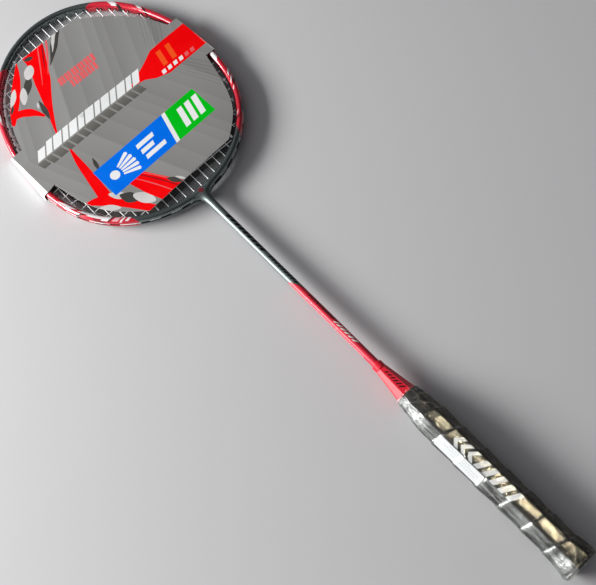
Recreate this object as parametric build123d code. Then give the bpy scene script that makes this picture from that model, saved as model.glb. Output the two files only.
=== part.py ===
from build123d import *
from collections import namedtuple
import math
import os

# Badminton racket with a slide-off card sleeve round its head.
# Units are millimetres.
# Frame: origin at the centre of the butt end face, +Y along the shaft to the
# tip of the head, +X to the right across the head, +Z square to the strings.
# A place on the hoop is an arc length s from the tip along the centreline, a
# side (1 right, -1 left) and a distance "out" from the centreline, away from the strings.

OVERALL_LENGTH = 675.0          # butt face to the outside of the head tip
OVERCUT = 1.0                   # how far a cut runs past an open face

# ---------------------------------------------------------------- dimensions: hoop
# centreline radius and turn in degrees, from the tip clockwise; the last arc,
# across the throat, closes the curve
HOOP_ARCS = [(81.2, 30.83), (101.2, 35.47), (182.8, 35.66), (94.5, 35.09)]
HOOP_W = 6.0                    # section width, in the plane of the strings
HOOP_H = 10.4                   # section height, square to the strings
HOOP_CORNER = 2.85
HOOP_WALL = 0.9
GROOVE_FLOOR = 1.75             # out
GROOVE_HALF = 1.4               # half width of the outer string groove
GROOVE_CUT = 4.0                # depth of the groove's cutter
HOLLOW_IN = -HOOP_W / 2 + HOOP_WALL
HOLLOW_OUT = GROOVE_FLOOR - HOOP_WALL
HOLLOW_H = HOOP_H - 2 * HOOP_WALL - 0.2
HOLLOW_CORNER = 1.1

# ---------------------------------------------------------------- dimensions: throat
STUB_BOTTOM = 413.0
STUB_BORE = 2.6
STUB_SECTIONS = [               # ellipse: y, half width in x, half height in z
    (STUB_BOTTOM, 3.60, 3.58), (416.0, 3.75, 3.68), (419.5, 4.5, 4.0),
    (422.3, 6.6, 4.5), (424.6, 11.5, 5.0), (425.7, 14.0, 5.15),
]
STUB_BORE_OUT = 0.5             # the bore stops this far out
CLIP_IN, CLIP_OUT, CLIP_HALF_H = -6, 1.2, 8     # band that trims the stub's top
CLIP_ANGLE = 15                 # each side of the throat's middle
SLOT_OUT = 6.5                  # the groove carried on into the stub
SLOT_FAR, SLOT_NEAR = 12, 1.80  # slot's ends, degrees from the throat's middle

CORE_FIT = 0.05                 # T joint core to hoop clearance
CORE_ANGLE = 9.5                # reach of the core each side of the middle, degrees
CORE_DRILL_REACH = 20           # holes this near the middle also drill the core
SPIGOT_R = 2.45
SPIGOT_BOTTOM = 376.0
SPIGOT_IN = 0.2                 # spigot ends this far above the centreline

# ---------------------------------------------------------------- dimensions: stringing
N_MAINS_SIDE = 11               # lengthwise strands each side of the middle
MAIN_FIRST = 4.15
MAIN_PITCH = 8.3
N_CROSS = 21                    # crosswise strands
CROSS_TOP = 654.2
CROSS_PITCH = 10.3
STRING_R = 0.34
STRING_LIFT = 0.36              # half the centre gap of the two string layers
MIN_HOLE_GAP = 3.3
SPREAD_ROUNDS = 200
SPREAD_EXTRA = 1e-4

HOLE_R = 1.10
DRILL_IN, DRILL_OUT = -4.5, 4.0
BARREL_R = 1.05                 # grommet barrel
BARREL_BORE = 0.55
BARREL_IN = -3.8
BARREL_OUT = GROOVE_FLOOR + 0.15
BORE_OUT = GROOVE_FLOOR + 2
STRIP_T = 0.3                   # grommet strip in the groove
STRIP_HALF = 1.25
STRIP_GAP = 0.01                # strip above the groove floor
STRIP_END = 2.2                 # strip past its last hole
FLANGE_R = 1.06
FLANGE_GAP = 0.03

TOP_END, UPPER_END, SIDE_END = 60, 150, 222     # arc lengths where the strips change
THROAT_REACH = 44               # single grommets, back from the throat's middle
FLANGE_REACH = 8                # nearer than this they have a round flange

BEND_OUT = BARREL_IN - 0.5      # where a strand turns into its hole
STRING_END_OUT = 1.6
LOOP_OUT = GROOVE_FLOOR + STRIP_T + STRING_R + 0.08     # clears the strip
MIDDLE_LOOP_LIFT = 0.12         # extra for the loop across the middle
INNER_BEND, OUTER_BEND = 0.7, 0.55
STRAIGHT_TURN = math.radians(0.5)   # smaller turns get no bend

# ---------------------------------------------------------------- dimensions: shaft, handle
SHAFT_R = 3.55
SHAFT_BORE = 2.5
SHAFT_TOP = STUB_BOTTOM - 0.05
SHAFT_BOTTOM = 62.0
SHAFT_HOLE_R = SHAFT_R + 0.03
SHAFT_HOLE_END = 2.0            # depth of the hole below the shaft

CORE_HX, CORE_HZ = 11.5, 10.3   # wooden handle, half width and half height
CORE_FX, CORE_FZ = 4.8, 4.4     # half widths of its z-facing and x-facing flats
FLAT_GROWTH = 0.42              # flat half width gained per unit of even growth
BUTT_HOLE_R, BUTT_HOLE_TOP = 7.2, 50.0

GRIP_TOP = 177.0
CONE_BOTTOM = 150.0
CONE_BREAK, CONE_BREAK_HALF = GRIP_TOP, 8.4     # where the cone's slope changes
CONE_LIP, CONE_TOP_HALF = 206.5, 4.5
CONE_TOP = 211.5
LIP_R, LIP_OVERLAP, LIP_FILLET = 4.75, 1.2, 0.7

CAP_HALF = 14.1                 # butt cap, widest half width
CAP_TOP, CAP_TOP_HALF = 20.0, 12.1
CAP_SHOULDER = 6.0
CAP_STATIONS = [                # y, half width
    (0, 13.2), (1.6, CAP_HALF), (CAP_SHOULDER, CAP_HALF), (CAP_TOP, CAP_TOP_HALF),
]
CAP_ASPECT = 0.915              # height over width
CAP_PLATE = 4.0                 # end plate thickness
CORE_CAP_GAP = 0.1              # wood above the end plate
CORE_CONE_GAP = 0.05            # wood below the cone
FIT = 0.06                      # clearance inside the cap and the tape
BADGE_R, BADGE_T, BADGE_FILLET = 8.0, 0.86, 0.3
SEAT_R, SEAT_DEPTH = 8.05, 0.9

STAPLE_BEND = 0.7
CAP_STAPLE = dict(leg=8.5, width=7.0, wire=0.35)
CAP_STAPLE_POCKET = dict(leg=9.0, width=7.0, wire=0.37)
CAP_STAPLE_Y, CAP_STAPLE_Z = 0.36, 8.9
CAP_SLOT_Y, CAP_SLOT_SIZE = -0.1, (7.8, 0.94, 0.76)
GRIP_STAPLE = dict(leg=4.6, width=5.8, wire=0.3)
GRIP_STAPLE_POCKET = dict(leg=5.0, width=5.8, wire=0.32)
GRIP_STAPLE_Y, GRIP_STAPLE_Z = 12.0, -12.95
GRIP_SLOT_Z, GRIP_SLOT_SIZE = -13.25, (6.5, 0.66, 0.76)

# ---------------------------------------------------------------- dimensions: grip
GRIP_HX, GRIP_HZ = 13.15, 11.95     # over the tape
GRIP_FX, GRIP_FZ = 5.5, 5.0         # half widths of its flats
GRIP_PROFILE = [                # y, half width over the tape
    (1.5, 14.3), (5.0, 14.95), (10.0, 14.75), (24.0, 13.35), (40.0, GRIP_HX),
    (150.0, GRIP_HX), (GRIP_TOP, 9.35),
]
TAPE_BOTTOM = 3.0
TAPE_BORE_CAP_Y = 2.0           # lower end of the tape's bore round the cap
TAPE_BORE_STEP = 0.2            # bore's step above the cap
TAPE_BORE_END_HALF = 8.2
FINISH_Y0, FINISH_Y1 = 168.5, 176.5     # finishing tape
FINISH_IN, FINISH_OUT = 0.03, 0.20      # its faces, above the grip
FINISH_OVERCUT = 0.5
LABEL_Y0, LABEL_Y1, LABEL_W = 90.0, 138.5, 9.8
LABEL_T, LABEL_GAP = 0.12, 0.03
FILM_T = 0.10
FILM_LIFT = 0.26                # film's inside above the grip
FILM_BOTTOM, FILM_CUT_BOTTOM = 1.8, 1.5

# ---------------------------------------------------------------- dimensions: card
CARD_Z = 5.45                   # inside face of the front and back panels
CARD_T = 0.4
CARD_X = 101.05                 # inside face of the side folds
TAB_ROOT = 91.0
TAB_Y0, TAB_Y1 = 525.0, 575.0   # ends of the side folds
CARD_HALF_OUTLINE = [           # x, y of the right half, top to bottom
    (0.0, 648.0), (29.0, 648.0), (35.9, 643.4), (43.9, 638.2), (51.8, 631.4),
    (63.3, 619.9), (69.1, 612.1), (74.3, 603.4), (80.4, 596.0), (85.1, 587.0),
    (87.5, 579.6), (TAB_ROOT, TAB_Y1), (CARD_X + CARD_T, TAB_Y1),
    (CARD_X + CARD_T, TAB_Y0), (TAB_ROOT, TAB_Y0), (89.0, 518.0), (87.4, 510.5),
    (85.0, 500.7), (81.3, 488.0), (78.7, 480.2), (74.9, 472.3), (70.8, 466.2),
    (65.5, 460.0), (56.3, 452.1), (47.5, 444.5), (0.0, 444.0),
]

# ---------------------------------------------------------------- hoop curve
# start point, start angle and turn in radians; angles run from +Y towards +X
Arc = namedtuple("Arc", "x y start radius turn")


def hoop_arcs():
    """The right-hand half of the centreline, tip to throat."""
    arcs = []
    x, y, start = 0.0, OVERALL_LENGTH - HOOP_W / 2, 0.0
    for radius, degrees in HOOP_ARCS:
        turn = math.radians(degrees)
        arcs.append(Arc(x, y, start, radius, turn))
        x += radius * (math.sin(start + turn) - math.sin(start))
        y -= radius * (math.cos(start) - math.cos(start + turn))
        start += turn
    last_turn = math.radians(180.0 - sum(degrees for _, degrees in HOOP_ARCS))
    arcs.append(Arc(x, y, start, x / math.sin(start), last_turn))
    return arcs


ARCS = hoop_arcs()
THROAT_ARC = ARCS[-1]
HALF_LEN = sum(arc.radius * arc.turn for arc in ARCS)


def hoop_point(s):
    """Centreline x, y and outward angle on the right-hand half."""
    for arc in ARCS:
        length = arc.radius * arc.turn
        if s <= length + 1e-9 or arc is THROAT_ARC:
            angle = arc.start + s / arc.radius
            return (arc.x + arc.radius * (math.sin(angle) - math.sin(arc.start)),
                    arc.y - arc.radius * (math.cos(arc.start) - math.cos(angle)), angle)
        s -= length


def offset_point(s, out, side=1):
    x, y, angle = hoop_point(s)
    return (side * (x + out * math.sin(angle)), y + out * math.cos(angle))


THROAT_Y = offset_point(HALF_LEN, 0)[1]


# ---------------------------------------------------------------- hole layout
Hole = namedtuple("Hole", "s kind index")


def bisect(func, low, high):
    low_value = func(low)
    for _ in range(60):
        middle = (low + high) / 2
        value = func(middle)
        if (value > 0) == (low_value > 0):
            low, low_value = middle, value
        else:
            high = middle
    return (low + high) / 2


def lay_out_holes():
    """Holes of one side, in order from the tip to the throat."""
    samples = 4000
    widest = max((HALF_LEN * k / samples for k in range(samples + 1)),
                 key=lambda s: offset_point(s, BEND_OUT)[0])

    def place(axis, value, low, high):
        return bisect(lambda s: offset_point(s, BEND_OUT)[axis] - value, low, high)

    spots = []
    for i in range(N_MAINS_SIDE):
        x = MAIN_FIRST + MAIN_PITCH * i
        spots.append([place(0, x, 0, widest), "main_top", i])
        spots.append([place(0, x, widest, HALF_LEN), "main_throat", i])
    for i in range(N_CROSS):
        y = CROSS_TOP - CROSS_PITCH * i
        spots.append([place(1, y, 0, HALF_LEN), "cross", i])
    spots.sort()
    for _ in range(SPREAD_ROUNDS):      # spread holes that come too close
        for first, second in zip(spots, spots[1:]):
            gap = second[0] - first[0]
            if gap < MIN_HOLE_GAP:
                shift = (MIN_HOLE_GAP - gap) / 2 + SPREAD_EXTRA
                first[0] -= shift
                second[0] += shift
    return [Hole(*spot) for spot in spots]


HOLES = lay_out_holes()
HOLE_S = {(hole.kind, hole.index): hole.s for hole in HOLES}


# ---------------------------------------------------------------- helpers
def revolve_on_arc(section, arc, start, end, side=1):
    """Revolve section(radius), drawn with x out and y up +Z, about a hoop arc's
    centre between two outward angles in degrees."""
    centre = (side * (arc.x - arc.radius * math.sin(arc.start)),
              arc.y - arc.radius * math.cos(arc.start), 0)
    axis = Axis(centre, (0, 0, 1))
    face = Plane(origin=centre, x_dir=(0, 1, 0), z_dir=(1, 0, 0)) * section(arc.radius)
    return revolve(face.rotate(axis, -side * start), axis, -side * (end - start))


def band(out0, out1, half_height):
    """Rectangular section for revolve_on_arc."""
    return lambda radius: (Pos(radius + (out0 + out1) / 2, 0)
                           * Rectangle(out1 - out0, 2 * half_height))


def hollow_section(radius, shrink=0.0):
    """The hoop's inner cavity, shrunk evenly."""
    return Pos(radius + (HOLLOW_IN + HOLLOW_OUT) / 2, 0) * RectangleRounded(
        HOLLOW_OUT - HOLLOW_IN - 2 * shrink, HOLLOW_H - 2 * shrink, HOLLOW_CORNER - shrink)


def rod(plane, radius, length):
    return plane * Cylinder(radius, length, align=(Align.CENTER, Align.CENTER, Align.MIN))


def rod_y(radius, y0, y1):
    return rod(Plane(origin=(0, y0, 0), x_dir=(1, 0, 0), z_dir=(0, 1, 0)), radius, y1 - y0)


def hole_rod(hole, side, out0, out1, radius):
    """Cylinder along the hoop's normal, at the hole's string layer."""
    x, y, angle = hoop_point(hole.s)
    normal = (side * math.sin(angle), math.cos(angle), 0)
    z = -STRING_LIFT if hole.kind == "cross" else STRING_LIFT
    origin = (side * x + out0 * normal[0], y + out0 * normal[1], z)
    return rod(Plane(origin=origin, z_dir=normal), radius, out1 - out0)


def drills(holes, radius):
    return [hole_rod(hole, side, DRILL_IN, DRILL_OUT, radius)
            for hole in holes for side in (1, -1)]


def octagon(y, half_x, half_z, flat_x, flat_z):
    """Octagonal face square to the Y axis."""
    points = [(half_x, flat_z), (flat_x, half_z), (-flat_x, half_z), (-half_x, flat_z),
              (-half_x, -flat_z), (-flat_x, -half_z), (flat_x, -half_z), (half_x, -flat_z)]
    return make_face(Polyline(*[(x, y, z) for x, z in points], close=True).edges())


def core_face(y, half, grow=0.0):
    """Handle octagon scaled to a half width, then grown evenly."""
    scale = half / CORE_HX
    flat_grow = FLAT_GROWTH * grow
    return octagon(y, CORE_HX * scale + grow, CORE_HZ * scale + grow,
                   CORE_FX * scale + flat_grow, CORE_FZ * scale + flat_grow)


def cap_face(y, half):
    scale = half / CORE_HX
    return octagon(y, half, half * CAP_ASPECT, CORE_FX * scale, CORE_FZ * scale)


def grip_face(y, grow=0.0):
    """Outside of the tape at y, grown evenly; constant above the profile."""
    half = GRIP_PROFILE[-1][1]
    for (y0, half0), (y1, half1) in zip(GRIP_PROFILE, GRIP_PROFILE[1:]):
        if y0 <= y <= y1:
            half = half0 + (half1 - half0) * (y - y0) / (y1 - y0)
            break
    scale = half / GRIP_HX
    flat_grow = FLAT_GROWTH * grow
    return octagon(y, half + grow, GRIP_HZ * scale + grow,
                   GRIP_FX * scale + flat_grow, GRIP_FZ * scale + flat_grow)


def frustums(faces):
    """Ruled lofts between neighbouring faces."""
    return [loft([low, high], ruled=True) for low, high in zip(faces, faces[1:])]


def frustum(low, high):
    return loft([low, high], ruled=True)


def fuse_all(items):
    return items[0].fuse(*items[1:]) if len(items) > 1 else items[0]


def add_in_turn(items):
    return sum(items[1:], items[0])


def largest(shape):
    """The largest solid of a result."""
    return max(shape.solids(), key=lambda solid: solid.volume)


def sweep_round(path, radius):
    return sweep(Plane(origin=path @ 0, z_dir=path % 0) * Circle(radius), path=path)


def save(shape, name):
    shape.label = name
    export_step(shape, "parts/%s.step" % name)


# ---------------------------------------------------------------- frame hoop
def hoop_section(radius):
    """Rounded hollow section with its string groove."""
    outer = Pos(radius, 0) * RectangleRounded(HOOP_W, HOOP_H, HOOP_CORNER)
    groove = band(GROOVE_FLOOR, GROOVE_FLOOR + GROOVE_CUT, GROOVE_HALF)(radius)
    return outer - groove - hollow_section(radius)


def throat_stub():
    """The moulding that flares out of the hoop to meet the shaft."""
    stub = loft([Plane(origin=(0, y, 0), x_dir=(1, 0, 0), z_dir=(0, 1, 0)) * Ellipse(a, b)
                 for y, a, b in STUB_SECTIONS])
    # keep the flare out of the hoop's hollow
    stub = stub - revolve_on_arc(band(CLIP_IN, CLIP_OUT, CLIP_HALF_H), THROAT_ARC,
                                 180 - CLIP_ANGLE, 180 + CLIP_ANGLE)
    for side in (1, -1):
        stub = stub - revolve_on_arc(band(GROOVE_FLOOR, SLOT_OUT, GROOVE_HALF), THROAT_ARC,
                                     180 - SLOT_FAR, 180 - SLOT_NEAR, side)
    return stub


def frame_hoop():
    tip_end = math.degrees(ARCS[0].turn)
    pieces = [revolve_on_arc(hoop_section, ARCS[0], -tip_end, tip_end)]
    for side in (1, -1):
        for arc in ARCS[1:-1]:
            pieces.append(revolve_on_arc(hoop_section, arc, math.degrees(arc.start),
                                         math.degrees(arc.start + arc.turn), side))
    throat_start = math.degrees(THROAT_ARC.start)
    pieces.append(revolve_on_arc(hoop_section, THROAT_ARC, throat_start, 360 - throat_start))
    hoop = fuse_all(pieces) + throat_stub()
    hoop = hoop - rod_y(STUB_BORE, STUB_BOTTOM - OVERCUT, THROAT_Y - STUB_BORE_OUT)
    return largest(hoop - drills(HOLES, HOLE_R))


def t_joint_core():
    """Curved block inside the hoop with a spigot down into the shaft."""
    core = revolve_on_arc(lambda radius: hollow_section(radius, CORE_FIT), THROAT_ARC,
                          180 - CORE_ANGLE, 180 + CORE_ANGLE)
    core = core + rod_y(SPIGOT_R, SPIGOT_BOTTOM, THROAT_Y + SPIGOT_IN)
    near = [hole for hole in HOLES if hole.s > HALF_LEN - CORE_DRILL_REACH]
    return largest(core.cut(*drills(near, HOLE_R + CORE_FIT)))


# ---------------------------------------------------------------- grommets
def strip_body(s0, s1, side):
    """The thin strap in the groove between two arc lengths."""
    section = band(GROOVE_FLOOR + STRIP_GAP, GROOVE_FLOOR + STRIP_GAP + STRIP_T, STRIP_HALF)
    pieces, base = [], 0.0
    for arc in ARCS:
        end = base + arc.radius * arc.turn
        low, high = max(s0, base), min(s1, end)
        if high > low + 1e-6:
            pieces.append(revolve_on_arc(
                section, arc, math.degrees(arc.start + (low - base) / arc.radius),
                math.degrees(arc.start + (high - base) / arc.radius), side))
        base = end
    return fuse_all(pieces)


def barrels(holes, side):
    return [hole_rod(hole, side, BARREL_IN, BARREL_OUT, BARREL_R) for hole in holes]


def barrel_bores(holes, side):
    return [hole_rod(hole, side, BARREL_IN - OVERCUT, BORE_OUT, BARREL_BORE) for hole in holes]


def grommet_strip(holes, side):
    body = strip_body(holes[0].s - STRIP_END, holes[-1].s + STRIP_END, side)
    return largest(body.fuse(*barrels(holes, side)).cut(*barrel_bores(holes, side)))


def grommet_strip_top(holes):
    """One strip across the tip, both sides together."""
    end = holes[-1].s + STRIP_END
    body = strip_body(0, end, 1).fuse(strip_body(0, end, -1))
    body = body.fuse(*(barrels(holes, 1) + barrels(holes, -1)))
    return largest(body.cut(*(barrel_bores(holes, 1) + barrel_bores(holes, -1))))


def flanged_grommet(hole, side):
    """Single grommet with a narrow round flange, next to the shaft."""
    flange_in = GROOVE_FLOOR + FLANGE_GAP
    flange = hole_rod(hole, side, flange_in, flange_in + STRIP_T, FLANGE_R)
    return largest(barrels([hole], side)[0].fuse(flange).cut(*barrel_bores([hole], side)))


def throat_grommets(holes):
    singles = []
    for side in (1, -1):
        for hole in holes:
            if hole.s < HALF_LEN - FLANGE_REACH:
                singles.append(grommet_strip([hole], side))
            else:
                singles.append(flanged_grommet(hole, side))
    return Compound(children=singles)


def holes_between(s0, s1):
    return [hole for hole in HOLES if s0 <= hole.s < s1]


def save_grommets():
    lower_end = HALF_LEN - THROAT_REACH
    save(grommet_strip_top(holes_between(-math.inf, TOP_END)), "grommet_strip_top")
    for side, side_name in ((1, "right"), (-1, "left")):
        for name, s0, s1 in (("upper", TOP_END, UPPER_END), ("side", UPPER_END, SIDE_END),
                             ("lower", SIDE_END, lower_end)):
            save(grommet_strip(holes_between(s0, s1), side),
                 "grommet_strip_%s_%s" % (name, side_name))
    save(throat_grommets(holes_between(lower_end, math.inf)), "throat_grommets")


# ---------------------------------------------------------------- strings
def loop_out(leaving, entering):
    """How far out a loop between two holes runs so that its middle clears the strip."""
    if leaving[1] != entering[1]:
        return LOOP_OUT + MIDDLE_LOOP_LIFT
    x0, y0 = offset_point(leaving[0], 0)
    x1, y1 = offset_point(entering[0], 0)
    x, y, _ = hoop_point((leaving[0] + entering[0]) / 2)
    return LOOP_OUT + math.hypot(x - (x0 + x1) / 2, y - (y0 + y1) / 2)


def string_corners(passes, z):
    """Corners of a string as (point, bend radius). Each pass is a pair of
    holes, each hole an (arc length, side)."""
    def corner(hole, out, bend):
        return Vector(*offset_point(hole[0], out, hole[1]), z), bend

    corners = [corner(passes[0][0], STRING_END_OUT, 0)]
    for n, (entering, leaving) in enumerate(passes):
        corners += [corner(entering, BEND_OUT, INNER_BEND), corner(leaving, BEND_OUT, INNER_BEND)]
        if n < len(passes) - 1:
            following = passes[n + 1][0]
            out = loop_out(leaving, following)
            corners += [corner(leaving, out, OUTER_BEND), corner(following, out, OUTER_BEND)]
    corners.append(corner(passes[-1][1], STRING_END_OUT, 0))
    return corners


def string_solid(passes, z):
    corners = string_corners(passes, z)
    edges, current = [], corners[0][0]
    for (before, _), (here, bend), (after, _) in zip(corners, corners[1:], corners[2:]):
        dir_in = (here - before).normalized()
        dir_out = (after - here).normalized()
        turn = math.acos(max(-1.0, min(1.0, dir_in.dot(dir_out))))
        if turn < STRAIGHT_TURN:
            edges.append(Edge.make_line(current, here))
            current = here
            continue
        tangent = bend * math.tan(turn / 2)
        arc_start = here - dir_in * tangent
        arc_end = here + dir_out * tangent
        inward = (dir_out - dir_in).normalized()
        arc_middle = here + inward * (bend / math.cos(turn / 2) - bend)
        edges.append(Edge.make_line(current, arc_start))
        edges.append(Edge.make_three_point_arc(arc_start, arc_middle, arc_end))
        current = arc_end
    edges.append(Edge.make_line(current, corners[-1][0]))
    return largest(sweep_round(Wire(edges), STRING_R))


def main_string():
    """Strands from left to right; the first starts at the throat end."""
    columns = [(-1, i) for i in reversed(range(N_MAINS_SIDE))]
    columns += [(1, i) for i in range(N_MAINS_SIDE)]
    passes = []
    for n, (side, i) in enumerate(columns):
        top = (HOLE_S["main_top", i], side)
        throat = (HOLE_S["main_throat", i], side)
        passes.append((throat, top) if n % 2 == 0 else (top, throat))
    return string_solid(passes, STRING_LIFT)


def cross_string():
    """Strands from the tip down; the first runs left to right."""
    passes = []
    for i in range(N_CROSS):
        left, right = (HOLE_S["cross", i], -1), (HOLE_S["cross", i], 1)
        passes.append((left, right) if i % 2 == 0 else (right, left))
    return string_solid(passes, -STRING_LIFT)


# ---------------------------------------------------------------- shaft and handle
def shaft_tube():
    return (rod_y(SHAFT_R, SHAFT_BOTTOM, SHAFT_TOP)
            - rod_y(SHAFT_BORE, SHAFT_BOTTOM - OVERCUT, SHAFT_TOP + OVERCUT))


def handle_cone():
    cone = add_in_turn(frustums([core_face(CONE_BOTTOM, CORE_HX),
                                 core_face(CONE_BREAK, CONE_BREAK_HALF),
                                 core_face(CONE_LIP, CONE_TOP_HALF)]))
    lip = rod_y(LIP_R, CONE_LIP - LIP_OVERLAP, CONE_TOP)
    cone = cone + fillet(lip.edges().filter_by(GeomType.CIRCLE), LIP_FILLET)
    return largest(cone - rod_y(SHAFT_HOLE_R, CONE_BOTTOM - OVERCUT, CONE_TOP + OVERCUT))


def handle_core(cap_pockets, grip_pockets):
    """Wooden octagon, bored for the shaft and from the butt."""
    wood = frustum(core_face(CAP_PLATE + CORE_CAP_GAP, CORE_HX),
                   core_face(CONE_BOTTOM - CORE_CONE_GAP, CORE_HX))
    wood = wood - rod_y(SHAFT_HOLE_R, SHAFT_BOTTOM - SHAFT_HOLE_END, CONE_BOTTOM + OVERCUT)
    wood = wood - rod_y(BUTT_HOLE_R, CAP_PLATE - OVERCUT, BUTT_HOLE_TOP)
    wood = largest(largest(wood).cut(*cap_pockets))
    return largest(wood.cut(*grip_pockets))


def butt_cap(cap_pockets, grip_pockets):
    cap = add_in_turn(frustums([cap_face(y, half) for y, half in CAP_STATIONS]))
    cap = cap - frustum(core_face(CAP_PLATE, CORE_HX, FIT),
                        core_face(CAP_TOP + OVERCUT, CORE_HX, FIT))
    cap = cap - rod_y(SEAT_R, -OVERCUT, SEAT_DEPTH)     # seat for the badge
    cap = cap.cut(*cap_pockets)
    return largest(largest(cap).cut(*grip_pockets))


def butt_cap_badge():
    """Disc flush with the cap's end face, its outer rim rounded."""
    badge = rod_y(BADGE_R, 0.0, BADGE_T)
    rim = badge.edges().filter_by(GeomType.CIRCLE).sort_by(Axis.Y)[0]
    return fillet(rim, BADGE_FILLET)


# ---------------------------------------------------------------- staples
def staple(plane, leg, width, wire):
    """Round-wire staple of wire radius wire: its back lies on the plane's x
    axis, its legs run along the plane's normal, and its corners are bent."""
    def point(u, v):
        return plane.origin + plane.x_dir * u + plane.z_dir * v

    half, bend = width / 2, STAPLE_BEND
    inset = bend * (1 - math.sqrt(0.5))     # middle of a bend, in from the corner
    left_foot, left_bend, back_left = point(-half, leg), point(-half, bend), point(-half + bend, 0)
    back_right, right_bend, right_foot = point(half - bend, 0), point(half, bend), point(half, leg)
    path = Wire([
        Edge.make_line(left_foot, left_bend),
        Edge.make_three_point_arc(left_bend, point(-half + inset, inset), back_left),
        Edge.make_line(back_left, back_right),
        Edge.make_three_point_arc(back_right, point(half - inset, inset), right_bend),
        Edge.make_line(right_bend, right_foot)])
    return sweep_round(path, wire)


def make_cap_staples():
    """Two staples through the cap's end plate, and the cuts they need."""
    staples, pockets = [], []
    for z in (-CAP_STAPLE_Z, CAP_STAPLE_Z):
        plane = Plane(origin=(0, CAP_STAPLE_Y, z), x_dir=(1, 0, 0), z_dir=(0, 1, 0))
        staples.append(largest(staple(plane, **CAP_STAPLE)))
        pockets.append(staple(plane, **CAP_STAPLE_POCKET))
        pockets.append(Pos(0, CAP_SLOT_Y, z) * Box(*CAP_SLOT_SIZE))
    return Compound(children=staples), pockets


def make_grip_staple():
    """Staple through the tape on its -Z side, and the cuts it needs."""
    plane = Plane(origin=(0, GRIP_STAPLE_Y, GRIP_STAPLE_Z), x_dir=(1, 0, 0), z_dir=(0, 0, 1))
    pockets = [staple(plane, **GRIP_STAPLE_POCKET),
               Pos(0, GRIP_STAPLE_Y, GRIP_SLOT_Z) * Box(*GRIP_SLOT_SIZE)]
    return largest(staple(plane, **GRIP_STAPLE)), pockets


# ---------------------------------------------------------------- grip
def sleeve(bottom, grow):
    """Solid of the grip's outside from bottom to GRIP_TOP, grown evenly."""
    stations = [bottom] + [y for y, _ in GRIP_PROFILE[1:]]
    return fuse_all(frustums([grip_face(y, grow) for y in stations]))


def grip_tape(grip_pockets):
    bore = frustums([core_face(CAP_TOP, CORE_HX, FIT),
                     core_face(CONE_BOTTOM, CORE_HX, FIT),
                     core_face(CONE_BREAK, CONE_BREAK_HALF, FIT),
                     core_face(GRIP_TOP + OVERCUT, TAPE_BORE_END_HALF, FIT)])
    bore += frustums([cap_face(TAPE_BORE_CAP_Y, CAP_HALF + FIT),
                      cap_face(CAP_SHOULDER, CAP_HALF + FIT),
                      cap_face(CAP_TOP, CAP_TOP_HALF + FIT),
                      cap_face(CAP_TOP + TAPE_BORE_STEP, CAP_TOP_HALF + FIT)])
    return largest(sleeve(TAPE_BOTTOM, 0.0).cut(*bore).cut(*grip_pockets))


def grip_finish_tape():
    """Narrow tape round the grip's upper end."""
    outer = frustum(grip_face(FINISH_Y0, FINISH_OUT), grip_face(FINISH_Y1, FINISH_OUT))
    inner = frustum(grip_face(FINISH_Y0 - FINISH_OVERCUT, FINISH_IN),
                    grip_face(GRIP_TOP, FINISH_IN))
    return largest(outer - inner)


def grip_label():
    """Label on the sloping flat between the left and +Z sides."""
    low = Vector(-GRIP_HX, 0, GRIP_FZ)
    high = Vector(-GRIP_FX, 0, GRIP_HZ)
    across = (high - low).normalized()
    normal = Vector(-across.Z, 0, across.X).normalized()
    middle = Vector(0, (LABEL_Y0 + LABEL_Y1) / 2, 0)
    plane = Plane(origin=(low + high) * 0.5 + normal * LABEL_GAP + middle,
                  x_dir=across, z_dir=normal)
    return plane * Box(LABEL_W, LABEL_Y1 - LABEL_Y0, LABEL_T,
                       align=(Align.CENTER, Align.CENTER, Align.MIN))


def grip_film():
    """Clear film over the tape and its label."""
    top_cut = frustum(grip_face(GRIP_TOP, FILM_LIFT), grip_face(GRIP_TOP + OVERCUT, FILM_LIFT))
    outer = sleeve(FILM_BOTTOM, FILM_LIFT + FILM_T)
    return largest(outer.cut(sleeve(FILM_CUT_BOTTOM, FILM_LIFT), top_cut))


# ---------------------------------------------------------------- card sleeve
def display_card():
    """Front and back panels joined by a fold on each side."""
    left_half = [(-x, y) for x, y in CARD_HALF_OUTLINE[::-1][1:-1]]
    outline = [(x, y, 0) for x, y in CARD_HALF_OUTLINE + left_half]
    panel = make_face(Polyline(*outline, close=True).edges())
    front, back = [extrude(Pos(0, 0, z) * panel, amount=CARD_T, dir=(0, 0, 1))
                   for z in (CARD_Z, -CARD_Z - CARD_T)]
    folds = [Pos(side * (CARD_X + CARD_T / 2), (TAB_Y0 + TAB_Y1) / 2, 0)
             * Box(CARD_T, TAB_Y1 - TAB_Y0, 2 * (CARD_Z + CARD_T)) for side in (1, -1)]
    return largest(front.fuse(back, *folds))


# ---------------------------------------------------------------- build
os.makedirs("parts", exist_ok=True)
cap_staples, cap_pockets = make_cap_staples()
grip_staple, grip_pockets = make_grip_staple()

save(frame_hoop(), "frame_hoop")
save(t_joint_core(), "t_joint_core")
save_grommets()
save(main_string(), "main_string")
save(cross_string(), "cross_string")
save(shaft_tube(), "shaft_tube")
save(handle_cone(), "handle_cone")
save(handle_core(cap_pockets, grip_pockets), "handle_core")
save(butt_cap(cap_pockets, grip_pockets), "butt_cap")
save(cap_staples, "cap_staples")
save(butt_cap_badge(), "butt_cap_badge")
save(grip_tape(grip_pockets), "grip_tape")
save(grip_staple, "grip_staple")
save(grip_finish_tape(), "grip_finish_tape")
save(grip_label(), "grip_label")
save(grip_film(), "grip_film")
save(display_card(), "display_card")
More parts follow.
